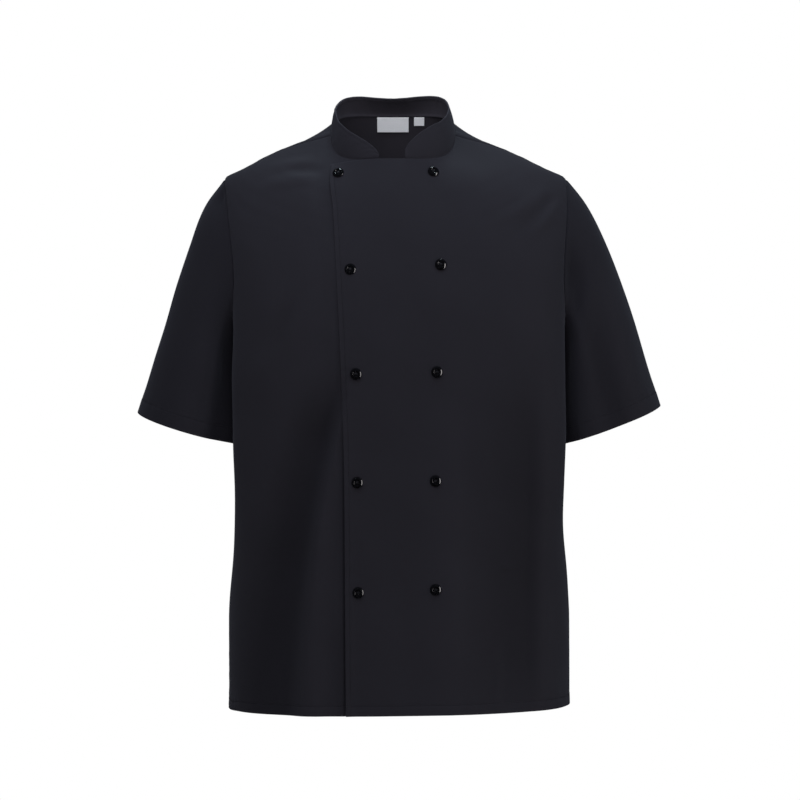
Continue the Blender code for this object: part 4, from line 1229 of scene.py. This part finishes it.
# Inside the back of the neck: a woven name label and a small size label, both left bare. They are
# white tape lying just inside the back, with a faint painted glow that brightens them as light
# would.
LABEL_CLOTH = 0.0006
LABEL_CLEARANCE = 0.0004
LABEL_TOP_MARGIN = 0.0015
LABEL_LEVEL_STEP = 0.02
LABEL_EDGE_SHARES = np.array((0.0, 0.01, 0.03, 0.07))
LABEL_INNER_SHARES = np.linspace(0.12, 0.88, 16)
LABELS = (
    # name, width, length, x of its middle
    ("label_main", 0.042, 0.021, -0.0022),
    ("label_size", 0.014, 0.012, 0.0330),
)

white_tape = Finish("white_woven_tape")
tape_grain, tape_across, tape_along = white_tape.grain()
tape_weave = white_tape.wave(tape_across, 0.0005) * white_tape.wave(tape_along, 0.0007)
tape_spots = white_tape.noise(tape_grain, 900.0, 2.0)
white_tape.feed(white_tape.shader, {
    "Base Color": white_tape.mixed(
        tape_spots * 0.7 + tape_weave * 0.15, (0.72, 0.74, 0.76, 1.0), (0.88, 0.89, 0.90, 1.0)),
    "Roughness": 0.7,
    "Specular IOR Level": 0.3,
    # Painted glow: the tape lights itself, standing in for light that barely reaches into the neck.
    "Emission Color": (0.80, 0.86, 0.96, 1.0),
    "Emission Strength": 0.17,
    "Normal": white_tape.bump(tape_weave, 0.35, 0.0002),
})

label_fall = body_place(math.pi, 1.0) - body_place(math.pi, 1.0 - LABEL_LEVEL_STEP)
level_for_length = LABEL_LEVEL_STEP / np.linalg.norm(label_fall)
shares = np.sort(np.concatenate((LABEL_EDGE_SHARES, LABEL_INNER_SHARES, 1.0 - LABEL_EDGE_SHARES)))
for name, width, length, middle in LABELS:
    drop = LABEL_TOP_MARGIN + length * (1.0 - shares)[:, None]
    level = 1.0 - drop * level_for_length
    x = middle + width * (0.5 - shares)[None, :]
    angle = math.pi - (x - ring("centre", level)) / ring("half_width", level)
    points, outward = body_surface(angle, level)
    inside = -outward
    across, from_end, along, to_top = edge_distances(points)
    back_of_label = points + inside * (CLOTH + LABEL_CLEARANCE + LABEL_CLOTH)
    thickness = rounded(LABEL_CLOTH / 2.0, across, from_end, along, to_top)
    lift = (CLOTH - LABEL_CLOTH) / 2.0
    label = cloth_shell(
        f"{name}_tape", back_of_label[:, ::-1], inside[:, ::-1], thickness[:, ::-1] + lift,
        thickness[:, ::-1] - lift, across, along, np.zeros_like(along))
    white_tape.put_on(label)
    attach(label, "root")
    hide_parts(name)

# The studio: a plain pale floor well below the hem, a white surround, and soft lights of which
# only two show in the glossy buttons.
FLOOR_HEIGHT = -1.45
FLOOR_RADIUS = 3.2
BACKDROP = (1.0, 1.0, 1.0, 1.0)
GLOW = (0.94, 0.96, 1.0, 1.0)
GLOW_STRENGTH = 0.16
floor_bm = bmesh.new()
bmesh.ops.create_circle(
    floor_bm, cap_ends=True, radius=FLOOR_RADIUS, segments=96,
    matrix=Matrix.Translation((0.0, 0.0, FLOOR_HEIGHT)))
floor = as_piece("studio_floor", floor_bm, flat=True)
pale_floor = Finish("pale_floor")
pale_floor.feed(pale_floor.shader, {"Base Color": (0.80, 0.80, 0.80, 1.0), "Roughness": 0.9})
pale_floor.put_on(floor)
floor.visible_glossy = False

world = bpy.data.worlds.new("studio")
world.use_nodes = True
surround = world.node_tree
backdrop = surround.nodes["Background"]
backdrop.inputs["Color"].default_value = BACKDROP
glow = surround.nodes.new("ShaderNodeBackground")
glow.inputs["Color"].default_value = GLOW
glow.inputs["Strength"].default_value = GLOW_STRENGTH
seen = surround.nodes.new("ShaderNodeLightPath")
either = surround.nodes.new("ShaderNodeMixShader")
surround.links.new(seen.outputs["Is Camera Ray"], either.inputs["Fac"])
surround.links.new(glow.outputs["Background"], either.inputs[1])
surround.links.new(backdrop.outputs["Background"], either.inputs[2])
surround.links.new(either.outputs["Shader"], surround.nodes["World Output"].inputs["Surface"])
bpy.context.scene.world = world
world.cycles_visibility.glossy = False

STUDIO_LIGHT = (1.0, 0.945, 0.960)
SKY_LIGHT = (0.86, 1.06, 1.14)
STUDIO_LIGHTS = (
    # name, place, aimed at, width, height, watts, colour, mirrored
    ("overhead_light", (0.1, -0.7, 1.9), (0.0, 0.0, -0.1), 2.0, 1.2, 42.0, SKY_LIGHT, False),
    ("high_front_light", (0.0, -2.2, 1.9), (0.0, 0.0, -0.2), 2.0, 1.2, 31.0, STUDIO_LIGHT, False),
    ("high_left_light", (-1.6, -1.2, 1.5), (0.0, 0.0, -0.3), 1.0, 1.0, 19.0, STUDIO_LIGHT, False),
    ("right_light", (2.7, -1.5, -0.4), (0.0, 0.0, -0.3), 0.8, 3.4, 27.0, STUDIO_LIGHT, True),
    ("low_right_light", (1.6, -2.4, -1.2), (0.0, 0.0, -0.3), 0.8, 0.8, 4.0, STUDIO_LIGHT, False),
    ("fill_light", (0.2, -3.8, -0.4), (0.0, 0.0, -0.3), 1.0, 1.0, 12.0, STUDIO_LIGHT, False),
    ("hair_light", (0.1, 0.7, 1.9), (0.0, 0.0, 0.0), 0.45, 0.45, 8.0, SKY_LIGHT, True),
    ("back_light", (-0.5, 2.7, 0.4), (0.0, 0.0, -0.4), 1.6, 1.6, 16.0, STUDIO_LIGHT, False),
)
for name, place, aim, width, height, watts, colour, mirrored in STUDIO_LIGHTS:
    lamp = bpy.data.lights.new(name, "AREA")
    lamp.shape = "RECTANGLE"
    lamp.size = width
    lamp.size_y = height
    lamp.energy = watts
    lamp.color = colour
    light = add_to_scene(name, lamp)
    light.location = place
    light.visible_glossy = mirrored
    light.rotation_euler = (Vector(aim) - Vector(place)).to_track_quat("-Z", "Y").to_euler()
